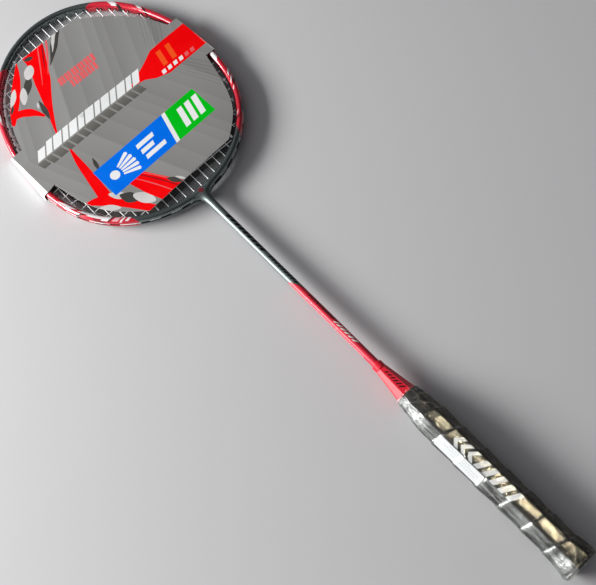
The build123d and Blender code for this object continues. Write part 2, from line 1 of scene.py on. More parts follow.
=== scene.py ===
# A strung badminton racket with a printed card sleeve over its head.
# Millimetres in the racket's own frame: Y runs along the axis from the butt
# at 0 to the tip of the hoop at 672, X runs across, and Z stands up from the
# strings. "Right" is +X, "upper" on the card is toward +Y and the front panel
# faces +Z. Lengths become metres when a mesh is made.
import math
from functools import cached_property

import bpy
import numpy as np
from mathutils import Matrix, Vector, noise
from mathutils.geometry import delaunay_2d_cdt


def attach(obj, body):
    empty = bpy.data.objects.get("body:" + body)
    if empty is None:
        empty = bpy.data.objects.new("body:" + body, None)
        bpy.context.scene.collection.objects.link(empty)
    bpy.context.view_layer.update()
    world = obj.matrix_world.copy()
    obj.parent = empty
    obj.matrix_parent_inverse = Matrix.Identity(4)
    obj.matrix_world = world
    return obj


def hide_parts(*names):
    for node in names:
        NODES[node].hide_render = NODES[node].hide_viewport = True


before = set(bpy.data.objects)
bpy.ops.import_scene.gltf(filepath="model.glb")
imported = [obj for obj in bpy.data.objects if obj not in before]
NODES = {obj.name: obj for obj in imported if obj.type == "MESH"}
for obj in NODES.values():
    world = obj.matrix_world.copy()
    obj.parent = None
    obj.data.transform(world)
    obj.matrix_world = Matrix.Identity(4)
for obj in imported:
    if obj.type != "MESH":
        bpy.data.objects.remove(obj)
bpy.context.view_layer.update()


MM = 0.001
RACKET, SLEEVE = "racket", "display_sleeve"


# =====================================================================
# shader writer
# =====================================================================
def operator(operation, swapped=False):
    """A method of Value that adds one Math node."""
    def method(self, other=None):
        pair = (other, self) if swapped else (self, other)
        return self.mat.math(operation, *pair)
    return method


class Value:
    """A shader output that can be used in arithmetic."""

    def __init__(self, mat, socket):
        self.mat = mat
        self.socket = socket

    __add__ = operator("ADD")
    __sub__ = operator("SUBTRACT")
    __rsub__ = operator("SUBTRACT", swapped=True)
    __mul__ = operator("MULTIPLY")
    __pow__ = operator("POWER")
    __abs__ = operator("ABSOLUTE")
    min = operator("MINIMUM")
    max = operator("MAXIMUM")
    atan2 = operator("ARCTAN2")
    fract = operator("FRACT")
    sqrt = operator("SQRT")
    sine = operator("SINE")

    def above(self, edge, soft=0.05):
        """0 below edge and 1 above it, eased over soft on either side."""
        return self.mat.value("ShaderNodeMapRange",
                              {"Value": self, "From Min": edge - soft, "From Max": edge + soft},
                              interpolation_type="SMOOTHSTEP", clamp=True)

    def below(self, edge, soft=0.05):
        return 1.0 - self.above(edge, soft)

    def between(self, lo, hi, soft=0.05):
        return self.above(lo, soft) * self.below(hi, soft)

    def remap(self, lo, hi, to=(0.0, 1.0)):
        """lo..hi carried over to the range to, and held at its ends."""
        return self.mat.value("ShaderNodeMapRange",
                              {"Value": self, "From Min": lo, "From Max": hi,
                               "To Min": to[0], "To Max": to[1]}, clamp=True)

    def stripes(self, start, end, pitch, on, soft):
        """Bars from start to end; on is the inked share of each pitch."""
        phase = ((self - start) * (1 / pitch)).fract()
        return phase.between(*on, soft=soft) * self.between(start, end, soft=0.1)

    def mix(self, off, on):
        """Colour off where this value is 0, on where it is 1."""
        return self.mat.value("ShaderNodeMix", {0: self, 6: off, 7: on}, output=2,
                              data_type="RGBA", clamp_factor=True)

    def blend(self, off, on):
        """Plain number off where this value is 0, on where it is 1."""
        return (1.0 - self) * off + self * on


class Mat:
    """A material under construction."""

    def __init__(self, name):
        self.material = bpy.data.materials.new(name)
        self.material.use_nodes = True
        self.tree = self.material.node_tree
        self.tree.nodes.clear()
        self.output = self.tree.nodes.new("ShaderNodeOutputMaterial")
        self.place = self.value("ShaderNodeTexCoord", output="Object")

    def put(self, socket, value):
        """Link or set an input; None leaves it at its default."""
        if isinstance(value, Value):
            self.tree.links.new(value.socket, socket)
        elif value is not None:
            socket.default_value = (*value, 1.0) if socket.type == "RGBA" else value

    def node(self, kind, inputs=None, **props):
        node = self.tree.nodes.new(kind)
        node.location = (-200, 0)      # clear of the output node
        for key, value in props.items():
            setattr(node, key, value)
        for key, value in (inputs or {}).items():
            self.put(node.inputs[key], value)
        return node

    def value(self, kind, inputs=None, output=0, **props):
        return Value(self, self.node(kind, inputs, **props).outputs[output])

    def math(self, operation, first, second=None):
        return self.value("ShaderNodeMath", {0: first, 1: second}, operation=operation)

    # place on the object in millimetres
    @cached_property
    def parts(self):
        return self.node("ShaderNodeSeparateXYZ", {0: self.place}).outputs

    @cached_property
    def x(self):
        return Value(self, self.parts[0]) * 1000.0

    @cached_property
    def y(self):
        return Value(self, self.parts[1]) * 1000.0

    @cached_property
    def z(self):
        return Value(self, self.parts[2]) * 1000.0

    def length(self, across, along):
        return (across * across + along * along).sqrt()

    def noise(self, scale, detail=3.0, rough=0.55, vec=None, dist=0.0):
        return self.value("ShaderNodeTexNoise",
                          {"Vector": vec or self.place, "Scale": scale, "Detail": detail,
                           "Roughness": rough, "Distortion": dist}, output="Fac")

    def voronoi(self, scale, feature="F1", vec=None, output="Distance"):
        return self.value("ShaderNodeTexVoronoi", {"Vector": vec or self.place, "Scale": scale},
                          output=output, feature=feature)

    def random_channels(self, scale):
        """Three random numbers for each cell of a fine mosaic."""
        cells = self.voronoi(scale=scale, output="Color")
        split = self.node("ShaderNodeSeparateColor", {0: cells})
        return [Value(self, socket) for socket in split.outputs]

    def wave(self, direction, scale, distortion, detail=None, vec=None):
        return self.value("ShaderNodeTexWave",
                          {"Vector": vec or self.place, "Scale": scale,
                           "Distortion": distortion, "Detail": detail},
                          output="Fac", wave_type="BANDS", bands_direction=direction)

    def stretch(self, x=1, y=1, z=1, turn=0):
        """Texture place scaled along each axis and turned about Z."""
        return self.value("ShaderNodeMapping", {"Vector": self.place, "Scale": (x, y, z),
                                                "Rotation": (0, 0, turn)})

    def bump(self, height, strength, dist):
        return self.value("ShaderNodeBump",
                          {"Height": height, "Strength": strength, "Distance": dist})

    def mix_shader(self, factor, off, on):
        return self.value("ShaderNodeMixShader", {0: factor, 1: off, 2: on})

    def surface(self, shader):
        """Finish the material with this shader."""
        self.put(self.output.inputs["Surface"], shader)
        return self.material

    def bsdf(self, **inputs):
        """Finish with a Principled shader; underscores stand for spaces."""
        named = {key.replace("_", " "): value for key, value in inputs.items()}
        return self.surface(self.value("ShaderNodeBsdfPrincipled", named))


# =====================================================================
# hoop curve: tangent arcs from the tip down to the throat
# =====================================================================
TIP_Y = 672.0
HOOP_ARCS = [(81.2, 30.83), (101.2, 35.47), (182.8, 35.66), (94.5, 35.09)]  # radius, degrees


def lay_arcs():
    """(x, y, heading, radius, turn) of each arc of the right half. The last
    one closes the hoop on the axis."""
    x, y, heading = 0.0, TIP_Y, 0.0
    arcs = []
    for radius, degrees in HOOP_ARCS:
        turn = math.radians(degrees)
        arcs.append((x, y, heading, radius, turn))
        x += radius * (math.sin(heading + turn) - math.sin(heading))
        y -= radius * (math.cos(heading) - math.cos(heading + turn))
        heading += turn
    last_turn = math.radians(180 - sum(degrees for _, degrees in HOOP_ARCS))
    arcs.append((x, y, heading, x / math.sin(heading), last_turn))
    return arcs


ARCS = lay_arcs()
HOOP_HALF = sum(arc[3] * arc[4] for arc in ARCS)     # length of the right half


def hoop_at(along):
    """x, y and heading at a length from the tip."""
    for i, (x, y, start, radius, turn) in enumerate(ARCS):
        if along <= radius * turn + 1e-9 or i == len(ARCS) - 1:
            heading = start + along / radius
            return (x + radius * (math.sin(heading) - math.sin(start)),
                    y - radius * (math.cos(start) - math.cos(heading)), heading)
        along -= radius * turn


def hoop_point(along, across, side=1):
    """Point set out from the centreline by across, on the given side."""
    x, y, heading = hoop_at(along)
    return (side * (x + across * math.sin(heading)), y + across * math.cos(heading))


def solve(func, lo, hi):
    """Root of func by bisection."""
    at_lo = func(lo)
    for _ in range(60):
        middle = (lo + hi) / 2
        at_middle = func(middle)
        if (at_middle > 0) == (at_lo > 0):
            lo, at_lo = middle, at_middle
        else:
            hi = middle
    return (lo + hi) / 2


# String holes. Each is found where a string leaves the hoop's inner side.
BEND_OFFSET = -4.3                 # across the hoop, where a string bends
MAIN_PITCH, MAINS_PER_SIDE = 8.3, 11
CROSS_TOP_Y, CROSS_PITCH, CROSSES = 654.2, 10.3, 21
MIN_HOLE_GAP = 3.3


def find_holes():
    """Length from the tip to each hole, by (kind, number)."""
    def inner(along, axis):
        return hoop_point(along, BEND_OFFSET)[axis]

    widest = max((HOOP_HALF * k / 4000 for k in range(4001)), key=lambda along: inner(along, 0))
    holes = []
    for i in range(MAINS_PER_SIDE):
        x = MAIN_PITCH / 2 + MAIN_PITCH * i
        for kind, lo, hi in (("tip", 0, widest), ("throat", widest, HOOP_HALF)):
            holes.append([solve(lambda along: inner(along, 0) - x, lo, hi), kind, i])
    for i in range(CROSSES):
        y = CROSS_TOP_Y - CROSS_PITCH * i
        holes.append([solve(lambda along: inner(along, 1) - y, 0, HOOP_HALF), "cross", i])
    holes.sort()
    # neighbours that crowd each other are pushed apart
    for _ in range(200):
        for near, far in zip(holes, holes[1:]):
            gap = far[0] - near[0]
            if gap < MIN_HOLE_GAP:
                push = (MIN_HOLE_GAP - gap) / 2 + 1e-4
                near[0] -= push
                far[0] += push
    return {(kind, i): along for along, kind, i in holes}


HOLES = find_holes()


# =====================================================================
# mesh helpers
# =====================================================================
def make_mesh(name, verts, faces, materials, face_materials=None):
    mesh = bpy.data.meshes.new(name)
    mesh.from_pydata([tuple(float(value) * MM for value in vert) for vert in verts], [],
                     [tuple(int(i) for i in face) for face in faces])
    for material in materials:
        mesh.materials.append(material)
    if face_materials is not None:
        mesh.polygons.foreach_set("material_index", np.asarray(face_materials, np.int32))
    mesh.polygons.foreach_set("use_smooth", np.full(len(mesh.polygons), True))
    mesh.validate()
    mesh.update()
    obj = bpy.data.objects.new(name, mesh)
    bpy.context.scene.collection.objects.link(obj)
    return obj


def hand_over(obj, body, replaced):
    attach(obj, body)
    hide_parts(replaced)


def racket_piece(name, verts, faces, materials, slot, replaced):
    obj = make_mesh(name, verts, faces, materials)
    hand_over(obj, RACKET, replaced)
    return obj


def solidify(obj, **settings):
    modifier = obj.modifiers.new("t", "SOLIDIFY")
    for key, value in settings.items():
        setattr(modifier, key, value)
    # the modifier is turned into plain mesh
    graph = bpy.context.evaluated_depsgraph_get()
    mesh = bpy.data.meshes.new_from_object(obj.evaluated_get(graph))
    obj.modifiers.clear()
    obj.data = mesh


def ring_faces(rows, count, base=0, flip=False):
    """Quads between rows of closed rings of count points."""
    faces = []
    for i in range(rows - 1):
        for k in range(count):
            after = (k + 1) % count
            quad = (base + i * count + k, base + i * count + after,
                    base + (i + 1) * count + after, base + (i + 1) * count + k)
            faces.append(quad[::-1] if flip else quad)
    return faces


TUBE_SIDES = 8


def tube(path, radius):
    """Round tube with closed ends along a path of points."""
    path = np.asarray(path, float)
    rows = len(path)
    tangent = np.gradient(path, axis=0)
    tangent /= np.linalg.norm(tangent, axis=1)[:, None]
    normal = np.zeros_like(path)
    last = np.array([0, 0, 1.0])
    for i in range(rows):
        last = last - tangent[i] * (last @ tangent[i])
        last = last / np.linalg.norm(last)
        normal[i] = last
    binormal = np.cross(tangent, normal)
    angle = np.arange(TUBE_SIDES) * 2 * math.pi / TUBE_SIDES
    rings = path[:, None, :] + radius * (np.cos(angle)[None, :, None] * normal[:, None, :]
                                         + np.sin(angle)[None, :, None] * binormal[:, None, :])
    faces = ring_faces(rows, TUBE_SIDES)
    faces.append(tuple(range(TUBE_SIDES))[::-1])
    faces.append(tuple((rows - 1) * TUBE_SIDES + k for k in range(TUBE_SIDES)))
    return rings.reshape(-1, 3), faces


def join_parts(parts):
    """Several (verts, faces) as one."""
    verts, faces, base = [], [], 0
    for part_verts, part_faces in parts:
        verts.append(part_verts)
        faces.extend(tuple(i + base for i in face) for face in part_faces)
        base += len(part_verts)
    return np.vstack(verts), faces


def smooth(share):
    return share * share * (3 - 2 * share)


def noise_at(x, y, z):
    return noise.noise(Vector((x, y, z)))


# =====================================================================
# racket materials
# =====================================================================
LACQUER_DARK, LACQUER_DARK_FLAKE = (0.135, 0.162, 0.160), (0.25, 0.292, 0.285)
WHITE_INK, BLACK_INK, PINK_INK = (0.88, 0.88, 0.89), (0.012, 0.012, 0.013), (0.86, 0.42, 0.46)
WINE_INK, DEEP_INK = (0.30, 0.008, 0.022), (0.22, 0.008, 0.018)

# Blocks of colour on the hoop: side, start and end along it from the tip,
# inner and outer edge across it, lean of the ends, colour, softness in degrees
HOOP_BLOCKS = [
    (1, 74.5, 81.5, -2.6, 3.2, -1.1, WHITE_INK, 0.5),
    (1, 79.5, 83.5, -3.4, -1.2, -1.1, BLACK_INK, 0.2),
    (1, 103.0, 108.0, -0.9, 2.7, -1.25, WHITE_INK, 0.25),
    (1, 108.4, 111.6, -3.2, 0.6, -1.25, BLACK_INK, 0.2),
    (1, 101.6, 102.6, 0.5, 3.2, -1.25, BLACK_INK, 0.1),
    (1, 193.0, 204.0, -2.7, 1.4, -1.6, WHITE_INK, 0.3),
    (1, 222.5, 226.0, -0.6, 2.4, -2.4, WHITE_INK, 0.3),
    (1, 229.5, 232.0, -1.6, 1.9, -2.4, WHITE_INK, 0.3),
    (1, 233.2, 237.8, 0.3, 3.3, -1.8, BLACK_INK, 0.25),
    (1, 237.0, 239.0, -2.8, 0.0, -2.4, WHITE_INK, 0.2),
    (1, 256.0, 268.0, 1.75, 3.3, -1.0, BLACK_INK, 0.3),
    (1, 262.0, 266.0, -2.9, -0.6, -2.0, PINK_INK, 0.3),
    (1, 268.5, 272.0, -3.2, 1.6, -1.6, DEEP_INK, 0.25),
    (1, 241.0, 254.0, -3.0, -1.7, 0.0, WINE_INK, 0.6),
    (-1, 102.5, 111.0, -1.4, 2.0, -1.3, WHITE_INK, 0.6),
    (-1, 111.5, 114.0, -2.6, 0.4, -1.3, PINK_INK, 0.3),
    (-1, 140.0, 148.0, -3.2, -1.2, -1.2, BLACK_INK, 0.3),
    (-1, 218.0, 231.0, -1.4, 0.9, -3.6, WHITE_INK, 0.3),
    (-1, 228.0, 243.0, 1.2, 2.5, -2.4, WHITE_INK, 0.3),
    (-1, 236.0, 249.0, -2.6, 0.0, -3.0, WHITE_INK, 0.3),
    (-1, 243.0, 246.0, 0.4, 3.2, -2.6, BLACK_INK, 0.2),
    (-1, 247.5, 262.0, -1.7, 1.1, -2.2, WHITE_INK, 0.3),
    (-1, 252.0, 262.0, 1.5, 3.2, 0.0, WINE_INK, 0.3),
    (-1, 261.0, 267.0, -2.7, 2.2, -1.0, WHITE_INK, 0.25),
    (-1, 267.4, 268.8, -2.9, 2.6, -1.0, BLACK_INK, 0.1),
    (-1, 270.5, 275.5, -2.4, 2.0, -1.0, PINK_INK, 0.25),
    (-1, 277.5, 279.4, -2.8, 2.6, -1.0, WHITE_INK, 0.2),
    (-1, 281.8, 284.6, -2.4, 1.8, -1.0, WHITE_INK, 0.2),
]
HOOP_EYE_Y = 545.0       # angles round the hoop are taken about this point of the axis
CURVE_RANGE = 200.0      # hoop radius that the curve node holds as 1


def coat_bump(mat):
    """The slight orange peel of sprayed lacquer."""
    return mat.bump(mat.noise(scale=420.0, detail=2.0, rough=0.5), strength=0.02, dist=0.0004)


def flaked(mat, red, red_flake):
    """Dark and red lacquer with metal flake, and the flakes' random numbers."""
    flake = mat.random_channels(scale=2600.0)
    dark = (flake[0] * 0.6).mix(LACQUER_DARK, LACQUER_DARK_FLAKE)
    return dark, (flake[1] * 0.35).mix(red, red_flake), flake


def hoop_paint():
    mat = Mat("frame_paint")
    stations = [HOOP_HALF * k / 180 for k in range(181)]
    spots = [hoop_at(along) for along in stations]
    angles = [math.atan2(x, y - HOOP_EYE_Y) for x, y, _ in spots]
    radii = [math.hypot(x, y - HOOP_EYE_Y) for x, y, _ in spots]
    degrees = [math.degrees(angle) for angle in angles]
    degrees[-1] = 180.0

    def degrees_at(along):
        return float(np.interp(along, stations, degrees))

    from_eye = mat.y - HOOP_EYE_Y
    angle = mat.x.atan2(from_eye)             # 0 at the tip, + to the right
    # a curve node holds the centreline's radius against the angle, which
    # gives the place across the section
    curve = mat.node("ShaderNodeFloatCurve", {"Value": angle * (1 / (2 * math.pi)) + 0.5})
    line = curve.mapping.curves[0]
    shares = np.linspace(0, 1, 29)
    levels = np.interp(np.abs((shares - 0.5) * 2 * math.pi), angles, radii)
    line.points[0].location = (0.0, levels[0] / CURVE_RANGE)
    line.points[1].location = (1.0, levels[-1] / CURVE_RANGE)
    for share, level in list(zip(shares, levels))[1:-1]:
        line.points.new(float(share), float(level / CURVE_RANGE))
    curve.mapping.update()
    across = mat.length(mat.x, from_eye) - Value(mat, curve.outputs[0]) * CURVE_RANGE
    turn = angle * (180 / math.pi)

    # red runs down both flanks, on leaning ends
    dark, red, flake = flaked(mat, red=(0.60, 0.010, 0.030), red_flake=(0.78, 0.03, 0.06))
    right_red = (turn - across * 0.75).between(lo=degrees_at(56.0), hi=degrees_at(283.0),
                                               soft=0.30)
    left_red = (turn + across * 0.75).between(lo=-degrees_at(287.0), hi=-degrees_at(56.0),
                                              soft=0.30)
    redness = right_red.max(left_red)
    col = redness.mix(dark, red)
    for side, start, end, inner, outer, slant, ink, soft in HOOP_BLOCKS:
        lean = (degrees_at(end + 1) - degrees_at(end - 1)) / 2.0 * slant * side
        lo, hi = degrees_at(start), degrees_at(end)
        if side < 0:
            lo, hi = -hi, -lo
        block = (turn - across * lean).between(lo=lo, hi=hi, soft=soft)
        col = (block * across.between(lo=inner, hi=outer, soft=0.10)).mix(col, ink)

    # the round red spots over the joint at the throat
    spot = mat.length(mat.x * 1.0, mat.y - 426.6).below(edge=2.45, soft=0.08)
    spot = spot * abs(mat.z).above(edge=3.0, soft=0.3)
    col = (spot * 0.85).mix(col, (0.42, 0.045, 0.06))
    # the outer groove where the strings run is drawn near black, a painted shade
    groove = across.above(edge=1.9, soft=0.08) * abs(mat.z).below(edge=1.40, soft=0.06)
    groove = groove * across.below(edge=2.9, soft=0.1)
    col = (groove * 0.75).mix(col, (0.02, 0.02, 0.02))

    # faint dust and handling wear; the throat stub has the shaft's duller lacquer
    wear = mat.noise(scale=55.0, detail=5.0, rough=0.65).remap(lo=0.42, hi=0.72)
    throat = mat.y.below(edge=431.0, soft=3.0) * abs(mat.x).below(edge=10.0, soft=3.5)
    return mat.bsdf(
        Base_Color=col, Metallic=(1.0 - redness) * 0.72 + 0.18,
        Roughness=throat.blend(wear * 0.10 + 0.20, wear * 0.08 + 0.44),
        Coat_Weight=throat.blend(0.72, 0.30),
        Coat_Roughness=throat.blend(wear * 0.07 + 0.075, wear * 0.08 + 0.16), Coat_IOR=1.5,
        Normal=mat.bump(flake[2] + 0.0, strength=0.035, dist=0.0002),
        Coat_Normal=coat_bump(mat))


# Rows of slanted bars on the shaft: start, end, pitch, inked share of it,
# first and last angle round the tube from its top, colour, slant
SHAFT_BARS = [
    (347.0, 396.0, 5.4, 0.76, -0.12, 1.25, (0.005, 0.006, 0.007), 1.1),
    (307.0, 341.0, 3.9, 0.64, 0.0, 1.05, (0.005, 0.006, 0.007), 1.1),
    (264.0, 294.0, 3.3, 0.60, 0.02, 0.80, (0.05, 0.003, 0.006), 1.6),
    (236.0, 260.0, 4.4, 0.60, -0.12, 0.62, (0.97, 0.95, 0.90), 1.6),
]


def shaft_paint():
    mat = Mat("shaft_paint")
    dark, red, _ = flaked(mat, red=(0.62, 0.012, 0.035), red_flake=(0.80, 0.04, 0.07))
    angle = mat.x.atan2(mat.z)                # 0 on top, + to the right
    lean = mat.y + mat.x * 2.0
    upper = lean.above(edge=305.0, soft=0.25)
    # a dark line parts the two colours
    col = lean.between(lo=304.4, hi=305.3, soft=0.12).mix(upper.mix(red, dark),
                                                          (0.10, 0.006, 0.012))
    for start, end, pitch, share, first, last, ink, slant in SHAFT_BARS:
        bars = (mat.y + mat.x * slant).stripes(start, end, pitch, on=(0.04, share), soft=0.03)
        col = (bars * angle.between(lo=first, hi=last, soft=0.03)).mix(col, ink)
    # painted highlight: a thin pale line along the left flank
    line = angle.between(lo=-1.30, hi=-1.18, soft=0.02)
    line = line * mat.y.between(lo=222.0, hi=398.0, soft=0.4)
    col = (line * 0.85).mix(col, (0.72, 0.72, 0.73))
    wear = mat.noise(scale=60.0, detail=5.0, rough=0.65).remap(lo=0.42, hi=0.75)
    return mat.bsdf(Base_Color=col, Metallic=upper * 0.60 + 0.22,
                    Roughness=wear * 0.08 + 0.40 + upper * 0.04, Coat_Weight=0.30,
                    Coat_Roughness=wear * 0.08 + 0.16, Coat_Normal=coat_bump(mat))


def cone_plastic():
    mat = Mat("cone_plastic")
    base = mat.noise(scale=260.0, detail=4.0).mix((0.74, 0.010, 0.030), (0.80, 0.014, 0.038))
    # dark bars on top, in a row that narrows away from the handle
    bars = (mat.y + mat.x * 0.9).stripes(start=182.0, end=202.0, pitch=3.4, on=(0.08, 0.66),
                                         soft=0.04)
    half_width = mat.y.remap(lo=182.0, hi=202.0, to=(1.9, 1.0))
    bars = bars * abs(mat.x - 0.4).below(edge=half_width, soft=0.12)
    bars = bars * mat.z.above(edge=1.0, soft=0.2)
    col = (bars * 0.96).mix(base, (0.030, 0.002, 0.004))
    # scuffs and the moulding's parting line
    scuff = mat.noise(scale=900.0, detail=2.0, rough=0.6, vec=mat.stretch(y=0.15))
    scuff = scuff.remap(lo=0.62, hi=0.8)
    parting = abs(mat.z).below(edge=0.10, soft=0.05)
    height = mat.noise(scale=500.0, detail=3.0) * 0.5 + parting * 0.7
    return mat.bsdf(Base_Color=col, Roughness=scuff * 0.18 + 0.40, Specular_IOR_Level=0.40,
                    Coat_Weight=0.10, Coat_Roughness=0.16,
                    Normal=mat.bump(height, strength=0.05, dist=0.0004))


def string_nylon():
    mat = Mat("string_nylon")
    braid = mat.wave("DIAGONAL", scale=900.0, distortion=1.5)
    tone = mat.noise(scale=140.0, detail=3.0).mix((0.92, 0.93, 0.94), (0.96, 0.965, 0.97))
    # a faint glow, painted light that keeps the strings bright in shade
    return mat.bsdf(Emission_Color=(0.9, 0.92, 0.94), Emission_Strength=0.10,
                    Base_Color=tone, Roughness=0.33, Subsurface_Weight=0.12,
                    Subsurface_Radius=(0.001, 0.001, 0.001), Subsurface_Scale=0.3,
                    Coat_Weight=0.5, Coat_Roughness=0.15,
                    Normal=mat.bump(braid, strength=0.18, dist=0.00006))


def grommet_nylon():
    mat = Mat("grommet_nylon")
    tone = mat.noise(scale=300.0, detail=4.0).mix((0.012, 0.012, 0.013), (0.03, 0.03, 0.032))
    grain = mat.noise(scale=1500.0, detail=3.0)
    return mat.bsdf(Base_Color=tone, Roughness=mat.noise(scale=700.0, detail=3.0) * 0.2 + 0.38,
                    Normal=mat.bump(grain, strength=0.12, dist=0.0002))


def wood_mat():
    mat = Mat("handle_wood")
    rings = mat.wave("X", scale=90.0, distortion=6.0, detail=4.0,
                     vec=mat.stretch(y=0.08, turn=0.05))
    pores = mat.noise(scale=1800.0, detail=3.0, rough=0.6, vec=mat.stretch(y=0.06))
    col = rings.mix((0.50, 0.34, 0.19), (0.64, 0.48, 0.30))
    col = (pores.above(edge=0.62, soft=0.04) * 0.5).mix(col, (0.28, 0.17, 0.09))
    return mat.bsdf(Base_Color=col, Roughness=0.62,
                    Normal=mat.bump(pores, strength=0.25, dist=0.0003))


def steel_mat():
    mat = Mat("staple_steel")
    grain = mat.noise(scale=2500.0, detail=3.0, rough=0.6, vec=mat.stretch(x=0.1))
    return mat.bsdf(Base_Color=grain.mix((0.55, 0.55, 0.55), (0.70, 0.70, 0.71)), Metallic=1.0,
                    Roughness=grain * 0.15 + 0.22,
                    Normal=mat.bump(grain, strength=0.1, dist=0.0001))


def core_mat():
    mat = Mat("core_plastic")
    return mat.bsdf(Base_Color=mat.noise(scale=400.0).mix((0.05, 0.05, 0.055), (0.09, 0.09, 0.1)),
                    Roughness=0.5,
                    Normal=mat.bump(mat.noise(scale=1200.0), strength=0.15, dist=0.0002))


def cap_mat():
    mat = Mat("cap_plastic")
    grain = mat.voronoi(scale=1500.0)
    tone = mat.noise(scale=300.0).mix((0.010, 0.010, 0.011), (0.022, 0.022, 0.024))
    return mat.bsdf(Base_Color=tone, Roughness=grain * 0.3 + 0.35,
                    Normal=mat.bump(grain, strength=0.3, dist=0.0002))


def badge_mat():
    """A pinwheel of six bars inside a pale ring."""
    mat = Mat("badge_plastic")
    radius = mat.length(mat.x, mat.z)
    ground = mat.noise(scale=500.0).mix((0.50, 0.01, 0.03), (0.60, 0.014, 0.04))
    col = radius.between(lo=5.6, hi=6.6, soft=0.06).mix(ground, (0.75, 0.75, 0.76))
    phase = (mat.x.atan2(mat.z) * (6 / (2 * math.pi)) + radius * 0.12).fract()
    bars = phase.between(lo=0.25, hi=0.5, soft=0.03) * radius.between(lo=1.8, hi=4.6, soft=0.06)
    rings = (radius * 22.0).sine()
    return mat.bsdf(Base_Color=bars.mix(col, (0.78, 0.78, 0.79)), Roughness=0.24,
                    Coat_Weight=0.8, Coat_Roughness=0.06,
                    Normal=mat.bump(rings * 0.5, strength=0.05, dist=0.0001))


LAP_PITCH, LAP_START_Y = 22.35, 4.6        # the grip tape's spiral


def tape_phase(mat):
    """Place between one edge of the wound tape and the next, 0 to 1."""
    angle = mat.z.atan2(mat.x * -1.0)
    turns = (mat.y - LAP_START_Y) * (1 / LAP_PITCH) + angle * (1 / (2 * math.pi))
    return turns.fract()


def grip_tape_mat():
    mat = Mat("grip_tape")
    grain = mat.noise(scale=1300.0, detail=4.0, rough=0.6)
    pin_holes = mat.voronoi(scale=2100.0, feature="SMOOTH_F1")
    phase = tape_phase(mat)
    # painted shade: the tape is drawn darker along each lap's edge, where the next turn meets it
    edge = phase.between(lo=0.0, hi=0.035, soft=0.012)
    edge = edge.max(phase.between(lo=0.965, hi=1.0, soft=0.012))
    base = mat.noise(scale=70.0, detail=4.0).mix((0.005, 0.005, 0.005), (0.012, 0.012, 0.011))
    base = (edge * 0.8).mix(base, (0.004, 0.004, 0.004))
    # print along the upper flat: slanted bars, then chevrons
    bars = (mat.y + mat.x * 0.55).stripes(start=62.0, end=103.0, pitch=8.2, on=(0.08, 0.66),
                                          soft=0.02)
    chevrons = (mat.y + abs(mat.x + 0.8) * 0.95).stripes(start=107.0, end=129.0, pitch=7.4,
                                                         on=(0.12, 0.66), soft=0.02)
    band = mat.x.between(lo=-5.4, hi=4.6, soft=0.08) * mat.z.above(edge=6.0, soft=0.5)
    wear = mat.noise(scale=900.0, detail=4.0, rough=0.7).remap(lo=0.26, hi=0.36, to=(0.85, 1.0))
    ink = bars.max(chevrons) * band * wear
    return mat.bsdf(Base_Color=(ink * 0.99).mix(base, (0.97, 0.98, 0.98)),
                    Roughness=grain * 0.2 + 0.50, Specular_IOR_Level=0.16, Sheen_Weight=0.02,
                    Sheen_Roughness=0.4,
                    Normal=mat.bump(grain * 0.7 + pin_holes * 0.5, strength=0.35, dist=0.00025))


def finish_mat():
    mat = Mat("finish_tape")
    grain = mat.noise(scale=900.0, detail=4.0, rough=0.6, vec=mat.stretch(y=3))
    return mat.bsdf(Base_Color=grain.mix((0.008, 0.008, 0.009), (0.022, 0.022, 0.024)),
                    Roughness=grain * 0.15 + 0.25,
                    Normal=mat.bump(grain, strength=0.2, dist=0.0002))


